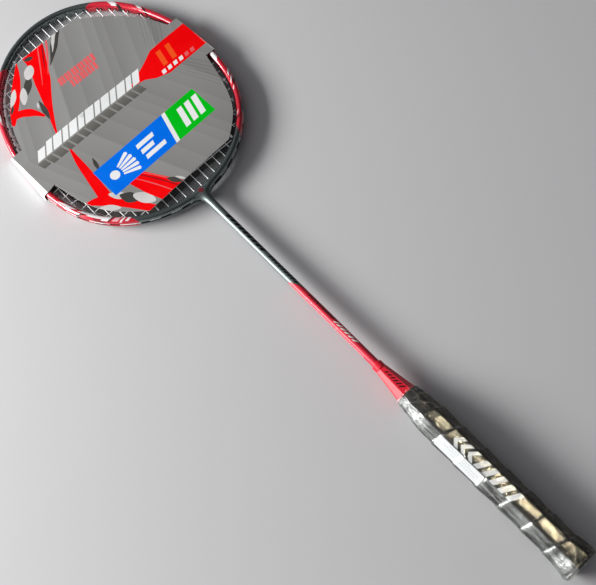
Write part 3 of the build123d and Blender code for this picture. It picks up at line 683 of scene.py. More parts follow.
def film_mat():
    mat = Mat("shrink_film")
    # creases too fine for the mesh: streaks along the handle, and sharp
    # folds that gather beside each lap of the tape and at both ends
    phase = tape_phase(mat)
    near_lap = abs((phase + 0.36).fract() - 0.5).remap(lo=0.10, hi=0.42, to=(1.0, 0.30))
    ends = mat.y.remap(lo=150.0, hi=168.0).max(mat.y.remap(lo=22.0, hi=6.0))
    busy = near_lap.max(ends)
    fold = mat.voronoi(scale=120.0, feature="DISTANCE_TO_EDGE", vec=mat.stretch(y=0.5))
    fold = fold.remap(lo=0.0, hi=0.075, to=(1.0, 0.0))
    streak = mat.noise(scale=260.0, detail=4.0, rough=0.6, vec=mat.stretch(y=0.16), dist=0.5)
    fine = mat.noise(scale=520.0, detail=4.0, rough=0.65, vec=mat.stretch(y=0.6), dist=0.7)
    wave = mat.noise(scale=75.0, detail=2.0, rough=0.5, vec=mat.stretch(y=0.7), dist=0.8)
    height = wave * 0.55 + (fold * 0.26 + fine * 0.20) * busy
    height = height + (streak * 0.10 + fine * 0.14)
    normal = mat.bump(height, strength=0.55, dist=0.0010)

    # reflection strength set by place: a painted sheen, strongest in streaks on the left flats
    # that face the key lamp
    left = mat.x.below(edge=-5.3, soft=0.9)
    painted_left_sheen = mat.noise(scale=330.0, detail=4.0, rough=0.65, vec=mat.stretch(y=0.10), dist=0.3)
    painted_left_sheen = painted_left_sheen.remap(lo=0.41, hi=0.61, to=(0.25, 1.75))
    # painted gleam over each raised edge of the tape, and at both drawn-in ends, added to the
    # left-flat sheen
    blotch = mat.noise(scale=240.0, detail=3.0, rough=0.6, vec=mat.stretch(y=0.7), dist=0.8)
    blotch = blotch.remap(lo=0.42, hi=0.56, to=(0.3, 1.0))
    lip = phase.remap(lo=0.70, hi=0.965) ** 2.2 * phase.below(edge=0.990, soft=0.012)
    drawn_in = mat.y.remap(lo=19.0, hi=14.0).max(mat.y.remap(lo=146.0, hi=152.0, to=(0.0, 0.8)))
    painted_edge_gleam = (lip * streak.remap(lo=0.35, hi=0.6, to=(0.75, 1.25))).max(drawn_in * blotch)
    painted_left_sheen = painted_left_sheen + painted_edge_gleam * 1.5
    # near the butt the painted glints break into slivers
    sliver = mat.noise(scale=300.0, detail=3.0, rough=0.6,
                       vec=mat.stretch(y=0.42, turn=0.35), dist=1.0)
    sliver = sliver.remap(lo=0.47, hi=0.56, to=(0.22, 1.25))
    # painted shade: the reflection fades to half over the right flank
    side = mat.x.remap(lo=5.0, hi=9.0, to=(1.0, 0.5))
    side = side * mat.y.remap(lo=18.0, hi=13.0).blend(1.0, sliver)
    fresnel = mat.value("ShaderNodeFresnel", {"IOR": 1.52, "Normal": normal})
    # the glossy share is set by place: painted sheen on the left flats, painted shade on the
    # right flank
    shine = left.blend((fresnel * 1.25).min(0.14) * side, painted_left_sheen * 0.13)

    # the wide lobe stands in for the finest wrinkles; its larger share on the left flats adds to
    # the painted sheen
    sharp_lobe = mat.value("ShaderNodeBsdfGlossy",
                           {"Color": (1.0, 1.0, 1.0), "Roughness": streak * 0.12 + 0.03,
                            "Normal": normal})
    wide_lobe = mat.value("ShaderNodeBsdfGlossy",
                          {"Color": (0.97, 1.0, 0.985), "Roughness": left.blend(0.42, 0.56),
                           "Normal": normal})
    patchy = mat.noise(scale=420.0, detail=4.0, rough=0.7, vec=mat.stretch(y=0.22), dist=0.6)
    patchy = patchy.remap(lo=0.40, hi=0.66, to=(0.04, 0.42))
    gloss = mat.mix_shader(left.blend(patchy, 0.90), sharp_lobe, wide_lobe)
    tint = (fold * busy * 0.3).mix((0.975, 0.98, 0.98), (0.82, 0.83, 0.83))
    clear = mat.value("ShaderNodeBsdfTransparent", {"Color": tint})

    # a trace of haze in the folds, and a painted highlight in milky white along the lower end's
    # rim on the left
    haze = mat.value("ShaderNodeBsdfDiffuse", {"Color": (0.80, 0.81, 0.80), "Normal": normal})
    painted_rim_highlight = mat.y.between(lo=-0.8, hi=0.5, soft=0.2) * mat.x.below(edge=-8.5, soft=2.0)
    painted_rim_highlight = painted_rim_highlight * fine.remap(lo=0.35, hi=0.6, to=(0.1, 0.75))
    fold_haze_and_rim_highlight = (fold * busy * 0.05 + 0.006).max(painted_rim_highlight)
    return mat.surface(mat.mix_shader(fold_haze_and_rim_highlight, mat.mix_shader(shine, clear, gloss), haze))


def film_back_mat():
    mat = Mat("shrink_film_back")
    tint = mat.noise(scale=300.0, detail=3.0).mix((0.985, 0.99, 0.99), (1.0, 1.0, 1.0))
    return mat.surface(mat.value("ShaderNodeBsdfTransparent", {"Color": tint}))


# Rows of dashes on the label: left and right edge from its middle, start,
# end, pitch, inked share of it
LABEL_DASHES = [
    (-2.9, -1.9, 96.0, 120.0, 2.3, 0.62),
    (-0.6, 0.5, 94.0, 129.0, 1.9, 0.55),
    (1.7, 2.6, 103.0, 124.0, 2.8, 0.7),
]


def label_mat():
    mat = Mat("label_paper")
    fibre = mat.noise(scale=1600.0, detail=4.0, rough=0.7)
    specks = mat.noise(scale=330.0, detail=2.0, rough=0.5).above(edge=0.73, soft=0.02)
    paper = fibre.mix((0.655, 0.68, 0.685), (0.70, 0.72, 0.725))
    col = (specks * 0.35).mix(paper, (0.42, 0.44, 0.46))
    across = (mat.x + 9.1) * 1.35           # over the slope of the flat
    for left, right, start, end, pitch, share in LABEL_DASHES:
        dashes = mat.y.stripes(start, end, pitch, on=(0.08, share), soft=0.03)
        dashes = dashes * across.between(lo=left, hi=right, soft=0.08)
        col = (dashes * 0.50).mix(col, (0.30, 0.32, 0.34))
    return mat.bsdf(Base_Color=col, Roughness=0.45, Coat_Weight=0.3, Coat_Roughness=0.25,
                    Normal=mat.bump(fibre, strength=0.12, dist=0.0001))


# =====================================================================
# card materials
# =====================================================================
def grey(level, tint=(1.0, 1.0, 1.0)):
    return tuple(level * share for share in tint)


HORIZON_Y = 557.0        # the card's grey ground is mirrored about this line
# thin lines that fan out near the right-hand edge: x, y of each end
FAN_LINES = [
    (60.0, 576.7, 72.9, 603.2), (63.0, 575.4, 75.5, 600.8), (65.3, 574.3, 77.8, 598.0),
    (68.5, 573.4, 80.0, 594.4), (71.2, 572.8, 82.0, 591.0), (75.6, 572.0, 84.2, 587.0),
]


def faceted_grey(mat):
    """Leaning bands of light and shade, mirrored below the horizon line."""
    rise = abs(mat.y - HORIZON_Y)
    lean = mat.x * 0.93 - rise * 0.37
    narrow = ((lean + 190.0) * (1 / 19.0)).fract()
    wide = ((lean + 131.0) * (1 / 47.0)).fract()
    tone = (narrow * 0.55 + wide * 0.6).remap(lo=0.0, hi=1.15)
    col = tone.mix(grey(0.285, tint=(1.0, 0.995, 0.975)), grey(0.375, tint=(1.0, 0.995, 0.98)))
    col = (mat.y.below(edge=HORIZON_Y, soft=0.3) * 0.30).mix(col, (0.30, 0.29, 0.27))
    for k, (x0, y0, x1, y1) in enumerate(FAN_LINES):
        run, climb = x1 - x0, y1 - y0
        length = math.hypot(run, climb)
        distance = abs((mat.x - x0) * (climb / length)
                       + (rise + HORIZON_Y - y0) * (-run / length))
        line = distance.below(edge=0.26 + 0.03 * k, soft=0.12)
        line = line * (rise + HORIZON_Y).above(edge=571.0, soft=1.5)
        line = line * mat.x.above(edge=58.0, soft=0.5)
        col = (line * 0.42).mix(col, (0.16, 0.16, 0.155))
    return col


def card_ink(name, tones=None, metallic=0.0, rough=0.42, fade=None, spec=0.45):
    """Ink over board, with fibre and rubbed edges. It mottles between two
    tones, or without them shows the faceted ground. fade is (from y, to y,
    colour)."""
    mat = Mat(name)
    if tones:
        mottle = mat.noise(scale=55.0, detail=4.0, rough=0.6).remap(lo=0.35, hi=0.65)
        col = mottle.mix(*tones)
    else:
        col = faceted_grey(mat)
    if fade:
        col = mat.y.remap(lo=fade[0], hi=fade[1]).mix(col, fade[2])
    # ink thins where the sheet is folded
    rubbed = mat.noise(scale=700.0, detail=4.0, rough=0.7).above(edge=0.50, soft=0.05)
    crease = abs(mat.x).between(lo=99.6, hi=101.3, soft=0.25) * rubbed
    col = (crease * 0.5).mix(col, (0.80, 0.79, 0.77))
    fibre = mat.noise(scale=1400.0, detail=5.0, rough=0.7)
    height = fibre * 0.6 + mat.noise(scale=35.0, detail=3.0) * 0.8
    spark = mat.random_channels(scale=3000.0)[0]
    return mat.bsdf(Base_Color=col, Metallic=metallic, Roughness=spark * 0.10 + rough,
                    Specular_IOR_Level=spec, Coat_Weight=spec * 0.35, Coat_Roughness=0.22,
                    Normal=mat.bump(height, strength=0.10, dist=0.0006))


def board_mat(name, dark, light):
    mat = Mat(name)
    fibre = mat.noise(scale=1700.0, detail=5.0, rough=0.7, vec=mat.stretch(y=0.35))
    return mat.bsdf(Base_Color=fibre.mix(dark, light), Roughness=0.75,
                    Normal=mat.bump(fibre, strength=0.3, dist=0.0002))


# =====================================================================
# CAD pieces that stay, with their finishes
# =====================================================================
def paint(name, material):
    slots = NODES[name].data.materials
    slots.clear()
    slots.append(material)


for finish, names in (
        (hoop_paint, ["frame_hoop"]), (shaft_paint, ["shaft_tube"]),
        (cone_plastic, ["handle_cone"]), (core_mat, ["t_joint_core"]),
        (wood_mat, ["handle_core"]), (cap_mat, ["butt_cap"]), (badge_mat, ["butt_cap_badge"]),
        (steel_mat, ["cap_staples", "grip_staple"]),
        (grommet_nylon, [name for name in NODES if "grommet" in name])):
    finish_material = finish()
    for name in names:
        paint(name, finish_material)

# =====================================================================
# woven strings
# =====================================================================
STRING_R = 0.40
LIFT = 0.36                       # mains leave the hoop this high, crosses this low
WEAVE = 0.40                      # height of a string as it passes over another
LOOP_OFFSET = 2.11 + STRING_R     # across the hoop, for the loops in the outer groove
TAIL_OFFSET = -3.6                # across the hoop, for the ends
KNOT_OFFSET, KNOT_R = -5.6, 0.33
LOOP_BEND_R, HOLE_BEND_R = 0.5, 0.7
STRING_STEP, LOOP_STEP = 1.7, 1.6


def main_ends(k):
    """Its two holes as (length along hoop, side), at the tip and the throat."""
    side = 1 if k >= MAINS_PER_SIDE else -1
    i = k - MAINS_PER_SIDE if side > 0 else MAINS_PER_SIDE - 1 - k
    return (HOLES[("tip", i)], side), (HOLES[("throat", i)], side)


def cross_ends(k):
    along = HOLES[("cross", k)]
    return (along, -1), (along, 1)


def string_line(ends):
    return [hoop_point(along, BEND_OFFSET, side) for along, side in ends]


def crossing(line, other):
    """Share along line where it meets the other, or None."""
    (x0, y0), (x1, y1) = line
    (other_x0, other_y0), (other_x1, other_y1) = other
    run, rise = x1 - x0, y1 - y0
    other_run, other_rise = other_x1 - other_x0, other_y1 - other_y0
    gap_x, gap_y = other_x0 - x0, other_y0 - y0
    scale = run * other_rise - rise * other_run
    share = (gap_x * other_rise - gap_y * other_run) / scale
    other_share = (gap_x * rise - gap_y * run) / scale
    return share if 0.004 < share < 0.996 and 0.004 < other_share < 0.996 else None


def woven(line, number, others, sign):
    """Points along a string, over and under the others in turn. sign is 1
    for mains and -1 for crosses."""
    (x0, y0), (x1, y1) = line
    length = math.hypot(x1 - x0, y1 - y0)
    knots = []
    for k, other in enumerate(others):
        share = crossing(line, other)
        if share is not None:
            over = sign if (k + number) % 2 == 0 else -sign
            knots.append((share * length, over * WEAVE))
    knots = [(0.0, sign * LIFT)] + sorted(knots) + [(length, sign * LIFT)]
    places, heights = np.array(knots).T
    along = np.linspace(0, length, int(length / STRING_STEP) + 1)[1:-1]
    i = np.clip(np.searchsorted(places, along) - 1, 0, len(places) - 2)
    share = (along - places[i]) / np.maximum(places[i + 1] - places[i], 1e-6)
    share = (1 - np.cos(np.pi * share)) / 2
    z = heights[i] * (1 - share) + heights[i + 1] * share
    return [(x0 + (x1 - x0) * place / length, y0 + (y1 - y0) * place / length, float(height))
            for place, height in zip(along, z)]


def corner(before, point, after, radius, steps=4):
    """Round the corner at point in the plane of the strings."""
    way_in = np.array([point[0] - before[0], point[1] - before[1]])
    way_in /= np.linalg.norm(way_in)
    way_out = np.array([after[0] - point[0], after[1] - point[1]])
    way_out /= np.linalg.norm(way_out)
    turn = math.acos(max(-1, min(1, float(way_in @ way_out))))
    if turn < 0.03:
        return [point]
    start = np.array(point[:2]) - way_in * (radius * math.tan(turn / 2))
    sign = 1 if way_in[0] * way_out[1] - way_in[1] * way_out[0] > 0 else -1
    centre = start + np.array([-way_in[1], way_in[0]]) * sign * radius
    x, y = start - centre
    points = []
    for i in range(steps + 1):
        angle = turn * i / steps * sign
        cos, sin = math.cos(angle), math.sin(angle)
        points.append((centre[0] + x * cos - y * sin, centre[1] + x * sin + y * cos, point[2]))
    return points


def loop_points(first, second, z):
    """Points in the outer groove between two holes. A loop between the two
    sides runs over the tip from left to right."""
    (start, side), (end, end_side) = first, second
    if side == end_side:
        count = max(2, int(abs(end - start) / LOOP_STEP))
        return [(*hoop_point(start + (end - start) * k / count, LOOP_OFFSET, side), z)
                for k in range(1, count)]
    count = 6
    places = [-start + (start + end) * k / count for k in range(1, count)]
    return [(*hoop_point(abs(place), LOOP_OFFSET, 1 if place >= 0 else -1), z)
            for place in places]


def strand(passes, z, tails):
    """Path of a whole string. passes are (hole in, hole out, points between);
    tails are the places along the hoop of its two tied ends."""
    path = []                     # (point, bend radius or None)

    def add(hole, across, bend):
        path.append(((*hoop_point(hole[0], across, hole[1]), z), bend))

    def add_plain(points):
        path.extend((point, None) for point in points)

    first, last = passes[0][0], passes[-1][1]
    start, end = (tails[0], first[1]), (tails[1], last[1])
    add(start, TAIL_OFFSET, None)
    add(start, LOOP_OFFSET, LOOP_BEND_R)
    add_plain(loop_points(start, first, z))
    followers = [following[0] for following in passes[1:]] + [end]
    for (hole_in, hole_out, between), follower in zip(passes, followers):
        add(hole_in, LOOP_OFFSET, LOOP_BEND_R)
        add(hole_in, BEND_OFFSET, HOLE_BEND_R)
        add_plain(between)
        add(hole_out, BEND_OFFSET, HOLE_BEND_R)
        add(hole_out, LOOP_OFFSET, LOOP_BEND_R)
        add_plain(loop_points(hole_out, follower, z))
    add(end, LOOP_OFFSET, LOOP_BEND_R)
    add(end, TAIL_OFFSET, None)

    points = []
    for i, (point, bend) in enumerate(path):
        if bend is None:
            points.append(point)
        else:
            points.extend(corner(path[i - 1][0], point, path[i + 1][0], bend))
    return points


def knot(hole, direction, z, start_angle):
    """Half hitches wound along direction beside a hole, with a cut tail."""
    turns, winding_r, steps = 2.6, 0.70, 45
    forward = np.array([*direction, 0.0])
    across = np.array([-forward[1], forward[0], 0.0])
    up = np.array([0, 0, 1.0])
    centre = np.array([*hoop_point(hole[0], KNOT_OFFSET, hole[1]), z])
    points = []
    for i in range(steps + 1):
        share = i / steps
        angle = share * turns * 2 * math.pi + start_angle
        radius = winding_r + 0.10 * math.sin(3 * angle)
        points.append(centre + forward * (share - 0.5) * 2.0
                      + across * radius * math.cos(angle) + up * radius * math.sin(angle))
    last = points[-1]
    for i in range(1, 9):
        share = i / 8
        points.append(last + forward * (0.8 * share) + across * (1.5 * share)
                      + up * (0.25 * math.sin(3 * share)))
    return tube(points, KNOT_R)


def string_passes(ends, others, sign, reversed_parity):
    """One pass for each string, every other one run backward."""
    passes = []
    for k, (start, end) in enumerate(ends):
        points = woven(string_line((start, end)), k, others, sign)
        if k % 2 == reversed_parity:
            passes.append((end, start, points[::-1]))
        else:
            passes.append((start, end, points))
    return passes


def build_strings():
    nylon = string_nylon()
    mains = [main_ends(k) for k in range(2 * MAINS_PER_SIDE)]
    crosses = [cross_ends(k) for k in range(CROSSES)]
    main_lines = [string_line(ends) for ends in mains]
    cross_lines = [string_line(ends) for ends in crosses]
    main_tie = HOLES[("cross", 15)]
    cross_ties = HOLES[("tip", 4)], HOLES[("throat", 6)]

    parts = [tube(strand(string_passes(mains, cross_lines, 1, 0), LIFT, (main_tie, main_tie)),
                  STRING_R)]
    for side in (-1, 1):
        parts.append(knot((main_tie, side), (side, 0.0), z=-LIFT + 0.1, start_angle=0.4))
    racket_piece("string_mains_woven", *join_parts(parts), [nylon],
                 slot="string_nylon", replaced="main_string")

    parts = [tube(strand(string_passes(crosses, main_lines, -1, 1), -LIFT, cross_ties),
                  STRING_R)]
    for tie, side, start_angle in ((cross_ties[0], -1, 1.3), (cross_ties[1], 1, 2.2)):
        parts.append(knot((tie, side), (0.0, 1.0), z=LIFT - 0.1, start_angle=start_angle))
    racket_piece("string_crosses_woven", *join_parts(parts), [nylon],
                 slot="string_nylon", replaced="cross_string")


build_strings()

# =====================================================================
# grip: wound tape, finishing band, shrink film and label
# Angles round the grip start at -X and turn toward +Z.
# =====================================================================
GRIP_X, GRIP_Z = 13.15, 11.95          # half sizes of the octagon
SIDE_FLAT_Z, TOP_FLAT_X = 5.0, 5.5     # half widths of its side and upper flats
# y, half width across X
GRIP_PROFILE = [
    (-2.0, 13.6), (0.0, 14.0), (1.5, 14.55), (4.5, 15.0), (7.0, 14.85), (10.0, 14.38),
    (13.0, 13.95), (17.0, 13.45), (20.0, 13.20), (24.0, 13.0), (40.0, 12.86), (75.0, 12.88),
    (95.0, 13.02), (145.0, 13.15), (152.0, 12.75), (160.0, 11.72), (170.0, 10.30),
    (177.0, 9.35), (184.0, 8.35),
]
PROFILE_Y, PROFILE_HALF = np.array(GRIP_PROFILE).T
# the octagon's flats as (outward x, outward z, reach along them)
CHAMFER = (GRIP_Z - SIDE_FLAT_Z, GRIP_X - TOP_FLAT_X)
CHAMFER_REACH = GRIP_X * CHAMFER[0] + SIDE_FLAT_Z * CHAMFER[1]
FLATS = [(1, 0, GRIP_X), (-1, 0, GRIP_X), (0, 1, GRIP_Z), (0, -1, GRIP_Z)]
FLATS += [(x * CHAMFER[0], z * CHAMFER[1], CHAMFER_REACH) for x in (1, -1) for z in (1, -1)]
CORNER_POWER = 26.0                    # higher makes the octagon's corners sharper


def grip_half(y):
    return np.interp(y, PROFILE_Y, PROFILE_HALF)


def grip_lean(y):
    """The winding is a touch thicker on the right of the lower handle."""
    return 0.45 * math.sin(math.pi * min(1.0, max(0.0, (y - 8.0) / 84.0)))


def grip_radius(theta):
    """Distance from the axis to the rounded octagon."""
    x, z = -np.cos(theta), np.sin(theta)
    total = np.zeros_like(theta)
    for out_x, out_z, reach in FLATS:
        total += np.maximum(0.0, (x * out_x + z * out_z) / reach) ** CORNER_POWER
    return total ** (-1.0 / CORNER_POWER)


def ring_angles(count):
    return np.arange(count) * 2 * math.pi / count


def grip_shell(levels, count, height):
    """Rings round the grip; height(y, angles) is added to the plain radius."""
    theta = ring_angles(count)
    verts = np.zeros((len(levels), count, 3))
    plain = grip_radius(theta)
    for i, y in enumerate(levels):
        radius = plain * (grip_half(y) / GRIP_X) + height(y, theta)
        verts[i, :, 0] = -np.cos(theta) * radius + grip_lean(y)
        verts[i, :, 1] = y
        verts[i, :, 2] = np.sin(theta) * radius
    return verts


def closed_shell(levels, count, height, inner_height):
    """Two shells, joined at both ends."""
    outer = grip_shell(levels, count, height)
    inner = grip_shell(levels, count, lambda y, theta: inner_height)
    rows, size = len(levels), len(levels) * count
    faces = ring_faces(rows, count) + ring_faces(rows, count, size, flip=True)
    end = size - count
    for k in range(count):
        after = (k + 1) % count
        faces.append((after, k, size + k, size + after))
        faces.append((end + k, end + after, size + end + after, size + end + k))
    return np.vstack([outer.reshape(-1, 3), inner.reshape(-1, 3)]), faces


def lap_gap(y, theta):
    """Distance toward the butt from the tape's next edge."""
    phase = (y - LAP_START_Y) / LAP_PITCH + theta / (2 * math.pi)
    return (1.0 - (phase - np.floor(phase))) * LAP_PITCH


def tape_height(y, theta):
    gap, ramp = lap_gap(y, theta), 1.1
    lap = smooth(np.minimum(np.clip(gap / ramp, 0, 1),
                            np.clip((LAP_PITCH - gap) / (LAP_PITCH - ramp), 0, 1)))
    unevenness = np.array([noise_at(y * 0.05, math.cos(angle) * 1.6, math.sin(angle) * 1.6)
                           for angle in theta])
    return -0.52 + 0.74 * lap + 0.10 * unevenness


def band_height(y, theta):
    """The band's free end lies on top of itself, between two angles."""
    unevenness = np.array([0.05 * noise_at(y * 0.4, angle * 1.5, 3.0) for angle in theta])
    overlap = np.clip((theta - 3.6) / 0.12, 0, 1) * np.clip((4.6 - theta) / 0.05, 0, 1)
    sag = -0.05 * np.clip((y - 175.8) / 0.8, 0, 1)
    return 0.16 + unevenness + 0.16 * overlap + sag


TAPE_LEVELS = np.concatenate([np.arange(2.6, 12, 0.8), np.arange(12, 176.4, 0.75),
                              [176.6, 177.0]])
racket_piece("grip_tape_wound", *closed_shell(TAPE_LEVELS, 128, tape_height, -0.95),
             [grip_tape_mat()], slot="grip_tape", replaced="grip_tape")
racket_piece("grip_finishing_band",
             *closed_shell(np.linspace(168.3, 176.6, 12), 112, band_height, 0.01),
             [finish_mat()], slot="finish_tape", replaced="grip_finish_tape")


def soft_lap(y, theta, lead, ramp):
    """Ride of a sheet over the tape's lap, 0 to 1, and the distance from the
    lap's edge. The sheet starts to rise lead before the edge."""
    gap = lap_gap(y, theta)
    gap = np.where(gap > LAP_PITCH - lead, gap - LAP_PITCH, gap)
    rise = smooth(np.clip((gap + lead) / ramp, 0, 1))
    fall = np.clip((LAP_PITCH - lead - gap) / (LAP_PITCH - ramp), 0, 1)
    return np.minimum(rise, fall), gap


# clear film, drawn tight over the laps, crinkled, gathered at both ends
FILM_COUNT = 176
FILM_LEVELS = np.concatenate([np.arange(1.0, 14, 0.6), np.arange(14, 172, 0.6),
                              np.arange(172, 180.6, 0.5)])
FILM_TEAR_Y = 172                      # the torn upper edge is worked in above this
# lowest rings, wrapped over the cap's edge: y, size, waviness
FILM_HEM = [(0.4, 0.985, 0.10), (-0.25, 0.93, 0.14), (-0.45, 0.84, 0.22), (-0.5, 0.74, 0.30)]


def ridged(x, y, z):
    return 1.0 - abs(2.0 * noise_at(x, y, z))


def film_height(y, theta):
    ride, gap = soft_lap(y, theta, lead=0.5, ramp=2.9)
    near_lap = np.exp(-((gap - 0.9) / 1.9) ** 2)
    across = -np.cos(theta) * grip_radius(theta) * grip_half(y) / GRIP_X
    heights = np.zeros(len(theta))
    for i, angle in enumerate(theta):
        cos, sin = math.cos(angle), math.sin(angle)
        twist = 0.35 * noise_at(cos * 1.2, sin * 1.2, y * 0.03)
        long_fold = ridged(cos * 4.2 + twist, sin * 4.2, y * 0.035) ** 5
        slant_fold = ridged(cos * 3.0 + y * 0.07, sin * 3.0 - twist, y * 0.13 + 9.0) ** 6
        swell = noise_at(cos * 2.2, sin * 2.2, y * 0.10 + 4.0)
        crinkle = ridged(cos * 6.0, sin * 6.0 + y * 0.05, y * 0.30) ** 4
        busy = min(1.0, 0.10 + 0.9 * near_lap[i] + max(0.0, (y - 150.0) / 18.0)
                   + max(0.0, (20.0 - y) / 14.0))
        crease = 0.06 * long_fold + 0.04 * swell + busy * (
            0.12 * long_fold + 0.30 * slant_fold + 0.22 * crinkle + 0.06 * swell)
        # pressed flat beneath the sticker
        if 88.0 < y < 140.5 and 0.35 < angle < 1.15:
            crease *= 0.25
        height = -0.12 + crease + 0.62 * ride[i]
        # the upper side is a little pillowed
        if sin > 0:
            from_middle = (across[i] - 0.9 * noise_at(y * 0.05, 3.0, 1.0)) / 6.4
            height += 0.24 * max(0.0, 1.0 - from_middle ** 2)
        # gathers at the upper end, then at the butt
        gather = max(0.0, (y - 168.0) / 10.0)
        height += (gather * 0.30 * math.sin(angle * 17 + 2.0 * noise_at(y * 0.2, cos, sin))
                   * max(0.0, 0.4 + noise_at(cos * 2, sin * 2, 1.0)))
        gather = max(0.0, (9.0 - y) / 9.0)
        height += (gather * 0.22 * math.sin(angle * 19 + 3.0 * noise_at(y * 0.25, cos, sin))
                   * max(0.0, 0.5 + noise_at(cos * 2, sin * 2, 7.0)))
        heights[i] = height
    return np.clip(heights, -0.20, 1.10)


def tear_film(shell, theta, plain):
    """Draw the top rings down to an irregular torn edge."""
    for k, angle in enumerate(theta):
        cos, sin = math.cos(angle), math.sin(angle)
        cut = 177.6 + 2.0 * (noise_at(cos * 1.5, sin * 1.5, 2.0)
                             + 0.5 * noise_at(cos * 5, sin * 5, 3.0))
        for i, level in enumerate(FILM_LEVELS):
            if level > FILM_TEAR_Y:
                share = (level - FILM_TEAR_Y) / (FILM_LEVELS[-1] - FILM_TEAR_Y)
                y = FILM_TEAR_Y + (cut - FILM_TEAR_Y) * share
                lift = (np.linalg.norm(shell[i, k, [0, 2]])
                        - plain[k] * grip_half(level) / GRIP_X)
                radius = plain[k] * (grip_half(y) / GRIP_X) + lift
                shell[i, k] = (-cos * radius, y, sin * radius)


def film_hem(theta, plain):
    rings = []
    for y, size, waviness in FILM_HEM:
        ring = np.zeros((FILM_COUNT, 3))
        for k, angle in enumerate(theta):
            cos, sin = math.cos(angle), math.sin(angle)
            wave = waviness * (math.sin(angle * 19 + 1.2) + noise_at(cos * 4, sin * 4, y))
            radius = plain[k] * 14.3 / GRIP_X * size
            if size < 0.8:             # ragged inner edge
                radius += 1.3 * noise_at(cos * 2.5, sin * 2.5, 8.0)
            ring[k] = (-cos * radius, y - 0.12 - abs(wave) * 0.5, sin * radius)
        rings.append(ring)
    return np.array(rings[::-1])


def build_film():
    theta = ring_angles(FILM_COUNT)
    plain = grip_radius(theta)
    shell = grip_shell(FILM_LEVELS, FILM_COUNT, film_height)
    tear_film(shell, theta, plain)
    rings = np.concatenate([film_hem(theta, plain), shell], axis=0)
    film = racket_piece("grip_shrink_film", rings.reshape(-1, 3),
                        ring_faces(len(rings), FILM_COUNT), [film_mat(), film_back_mat()],
                        slot="shrink_film", replaced="grip_film")
    solidify(film, thickness=0.00006, offset=1.0, material_offset=1)
    return film


film = build_film()

# label on the flat that faces up and left, stuck on over the film
LABEL_HALF, LABEL_Y0, LABEL_Y1 = 4.9, 89.8, 135.3
LABEL_CORNER = 1.3
LABEL_COLUMNS, LABEL_ROWS = 15, 66


def build_label():
    low, high = np.array([-GRIP_X, SIDE_FLAT_Z]), np.array([-TOP_FLAT_X, GRIP_Z])
    slope = (high - low) / np.linalg.norm(high - low)
    outward = np.array([-slope[1], slope[0]])
    centre = (low + high) / 2
    middle_y, half_y = (LABEL_Y0 + LABEL_Y1) / 2, (LABEL_Y1 - LABEL_Y0) / 2
    square_x, square_y = LABEL_HALF - LABEL_CORNER, half_y - LABEL_CORNER
    verts = []
    for j in range(LABEL_ROWS):
        for i in range(LABEL_COLUMNS):
            across = -LABEL_HALF + 2 * LABEL_HALF * i / (LABEL_COLUMNS - 1)
            y = LABEL_Y0 + (LABEL_Y1 - LABEL_Y0) * j / (LABEL_ROWS - 1)
            # rounded corners
            over_x = max(abs(across) - square_x, 0.0)
            over_y = max(abs(y - middle_y) - square_y, 0.0)
            reach = math.hypot(over_x, over_y)
            if over_x > 0 and over_y > 0 and reach > LABEL_CORNER:
                shrink = LABEL_CORNER / reach
                across = math.copysign(square_x + over_x * shrink, across)
                y = middle_y + math.copysign(square_y + over_y * shrink, y - middle_y)
            angle = math.atan2(centre[1] + slope[1] * across, -(centre[0] + slope[0] * across))
            ride, _ = soft_lap(y, angle, lead=1.5, ramp=3.6)
            height = 0.16 + 0.56 * ride + 0.03 * noise_at(across * 0.3, y * 0.12, 5.0)
            # the long edges and the upper end lift a little
            height += (0.10 * max(0.0, abs(across) - 4.0) * 0.6
                       + 0.25 * max(0.0, (y - 132.8) / 2.5) ** 2)
            x, z = centre + slope * across + outward * height
            verts.append((x + grip_lean(y), y, z))
    starts = [j * LABEL_COLUMNS + i for j in range(LABEL_ROWS - 1)
              for i in range(LABEL_COLUMNS - 1)]
    faces = [(k, k + 1, k + LABEL_COLUMNS + 1, k + LABEL_COLUMNS) for k in starts]
    label = racket_piece("grip_label_sticker", verts, faces, [label_mat()],
                         slot="label_paper", replaced="grip_label")
    solidify(label, thickness=0.00010, offset=0.0)


build_label()

# =====================================================================
# card sleeve: inks and outline
# =====================================================================
INKS = [
    card_ink("card_grey", metallic=0.30, spec=0.30),
    card_ink("card_red", ((0.93, 0.0, 0.002), (0.97, 0.003, 0.004)), spec=0.03),
    card_ink("card_dark_red", ((0.30, 0.004, 0.010), (0.36, 0.006, 0.012)), spec=0.05),
    card_ink("card_orange", ((0.95, 0.085, 0.01), (0.98, 0.10, 0.015)), spec=0.05),
    card_ink("card_pink", ((0.80, 0.11, 0.12), (0.84, 0.14, 0.14)), spec=0.1),
    card_ink("card_white", ((0.86, 0.87, 0.88), (0.92, 0.93, 0.93)), rough=0.36),
    card_ink("card_pale", ((0.60, 0.585, 0.58), (0.70, 0.685, 0.68)), rough=0.4),
    card_ink("card_dark", ((0.050, 0.047, 0.042), (0.068, 0.064, 0.056)), rough=0.4, spec=0.15),
    card_ink("card_shade", ((0.085, 0.08, 0.070), (0.11, 0.105, 0.093)), rough=0.4,
             fade=(537.0, 549.0, (0.17, 0.165, 0.15)), spec=0.15),
    card_ink("card_blue", ((0.0, 0.155, 0.82), (0.002, 0.175, 0.88)), rough=0.34, spec=0.03),
    card_ink("card_green", ((0.0, 0.50, 0.008), (0.002, 0.56, 0.014)), rough=0.34, spec=0.03),
]
GREY, RED, DARK_RED, ORANGE, PINK, WHITE, PALE, DARK, SHADE, BLUE, GREEN = range(len(INKS))
BOARD = board_mat("card_board", dark=(0.80, 0.79, 0.77), light=(0.93, 0.925, 0.91))
# the inner faces are drawn as near-black board, a painted shade for the dark inside of the sleeve
BACKING = board_mat("card_backing", dark=(0.10, 0.098, 0.094), light=(0.14, 0.137, 0.13))


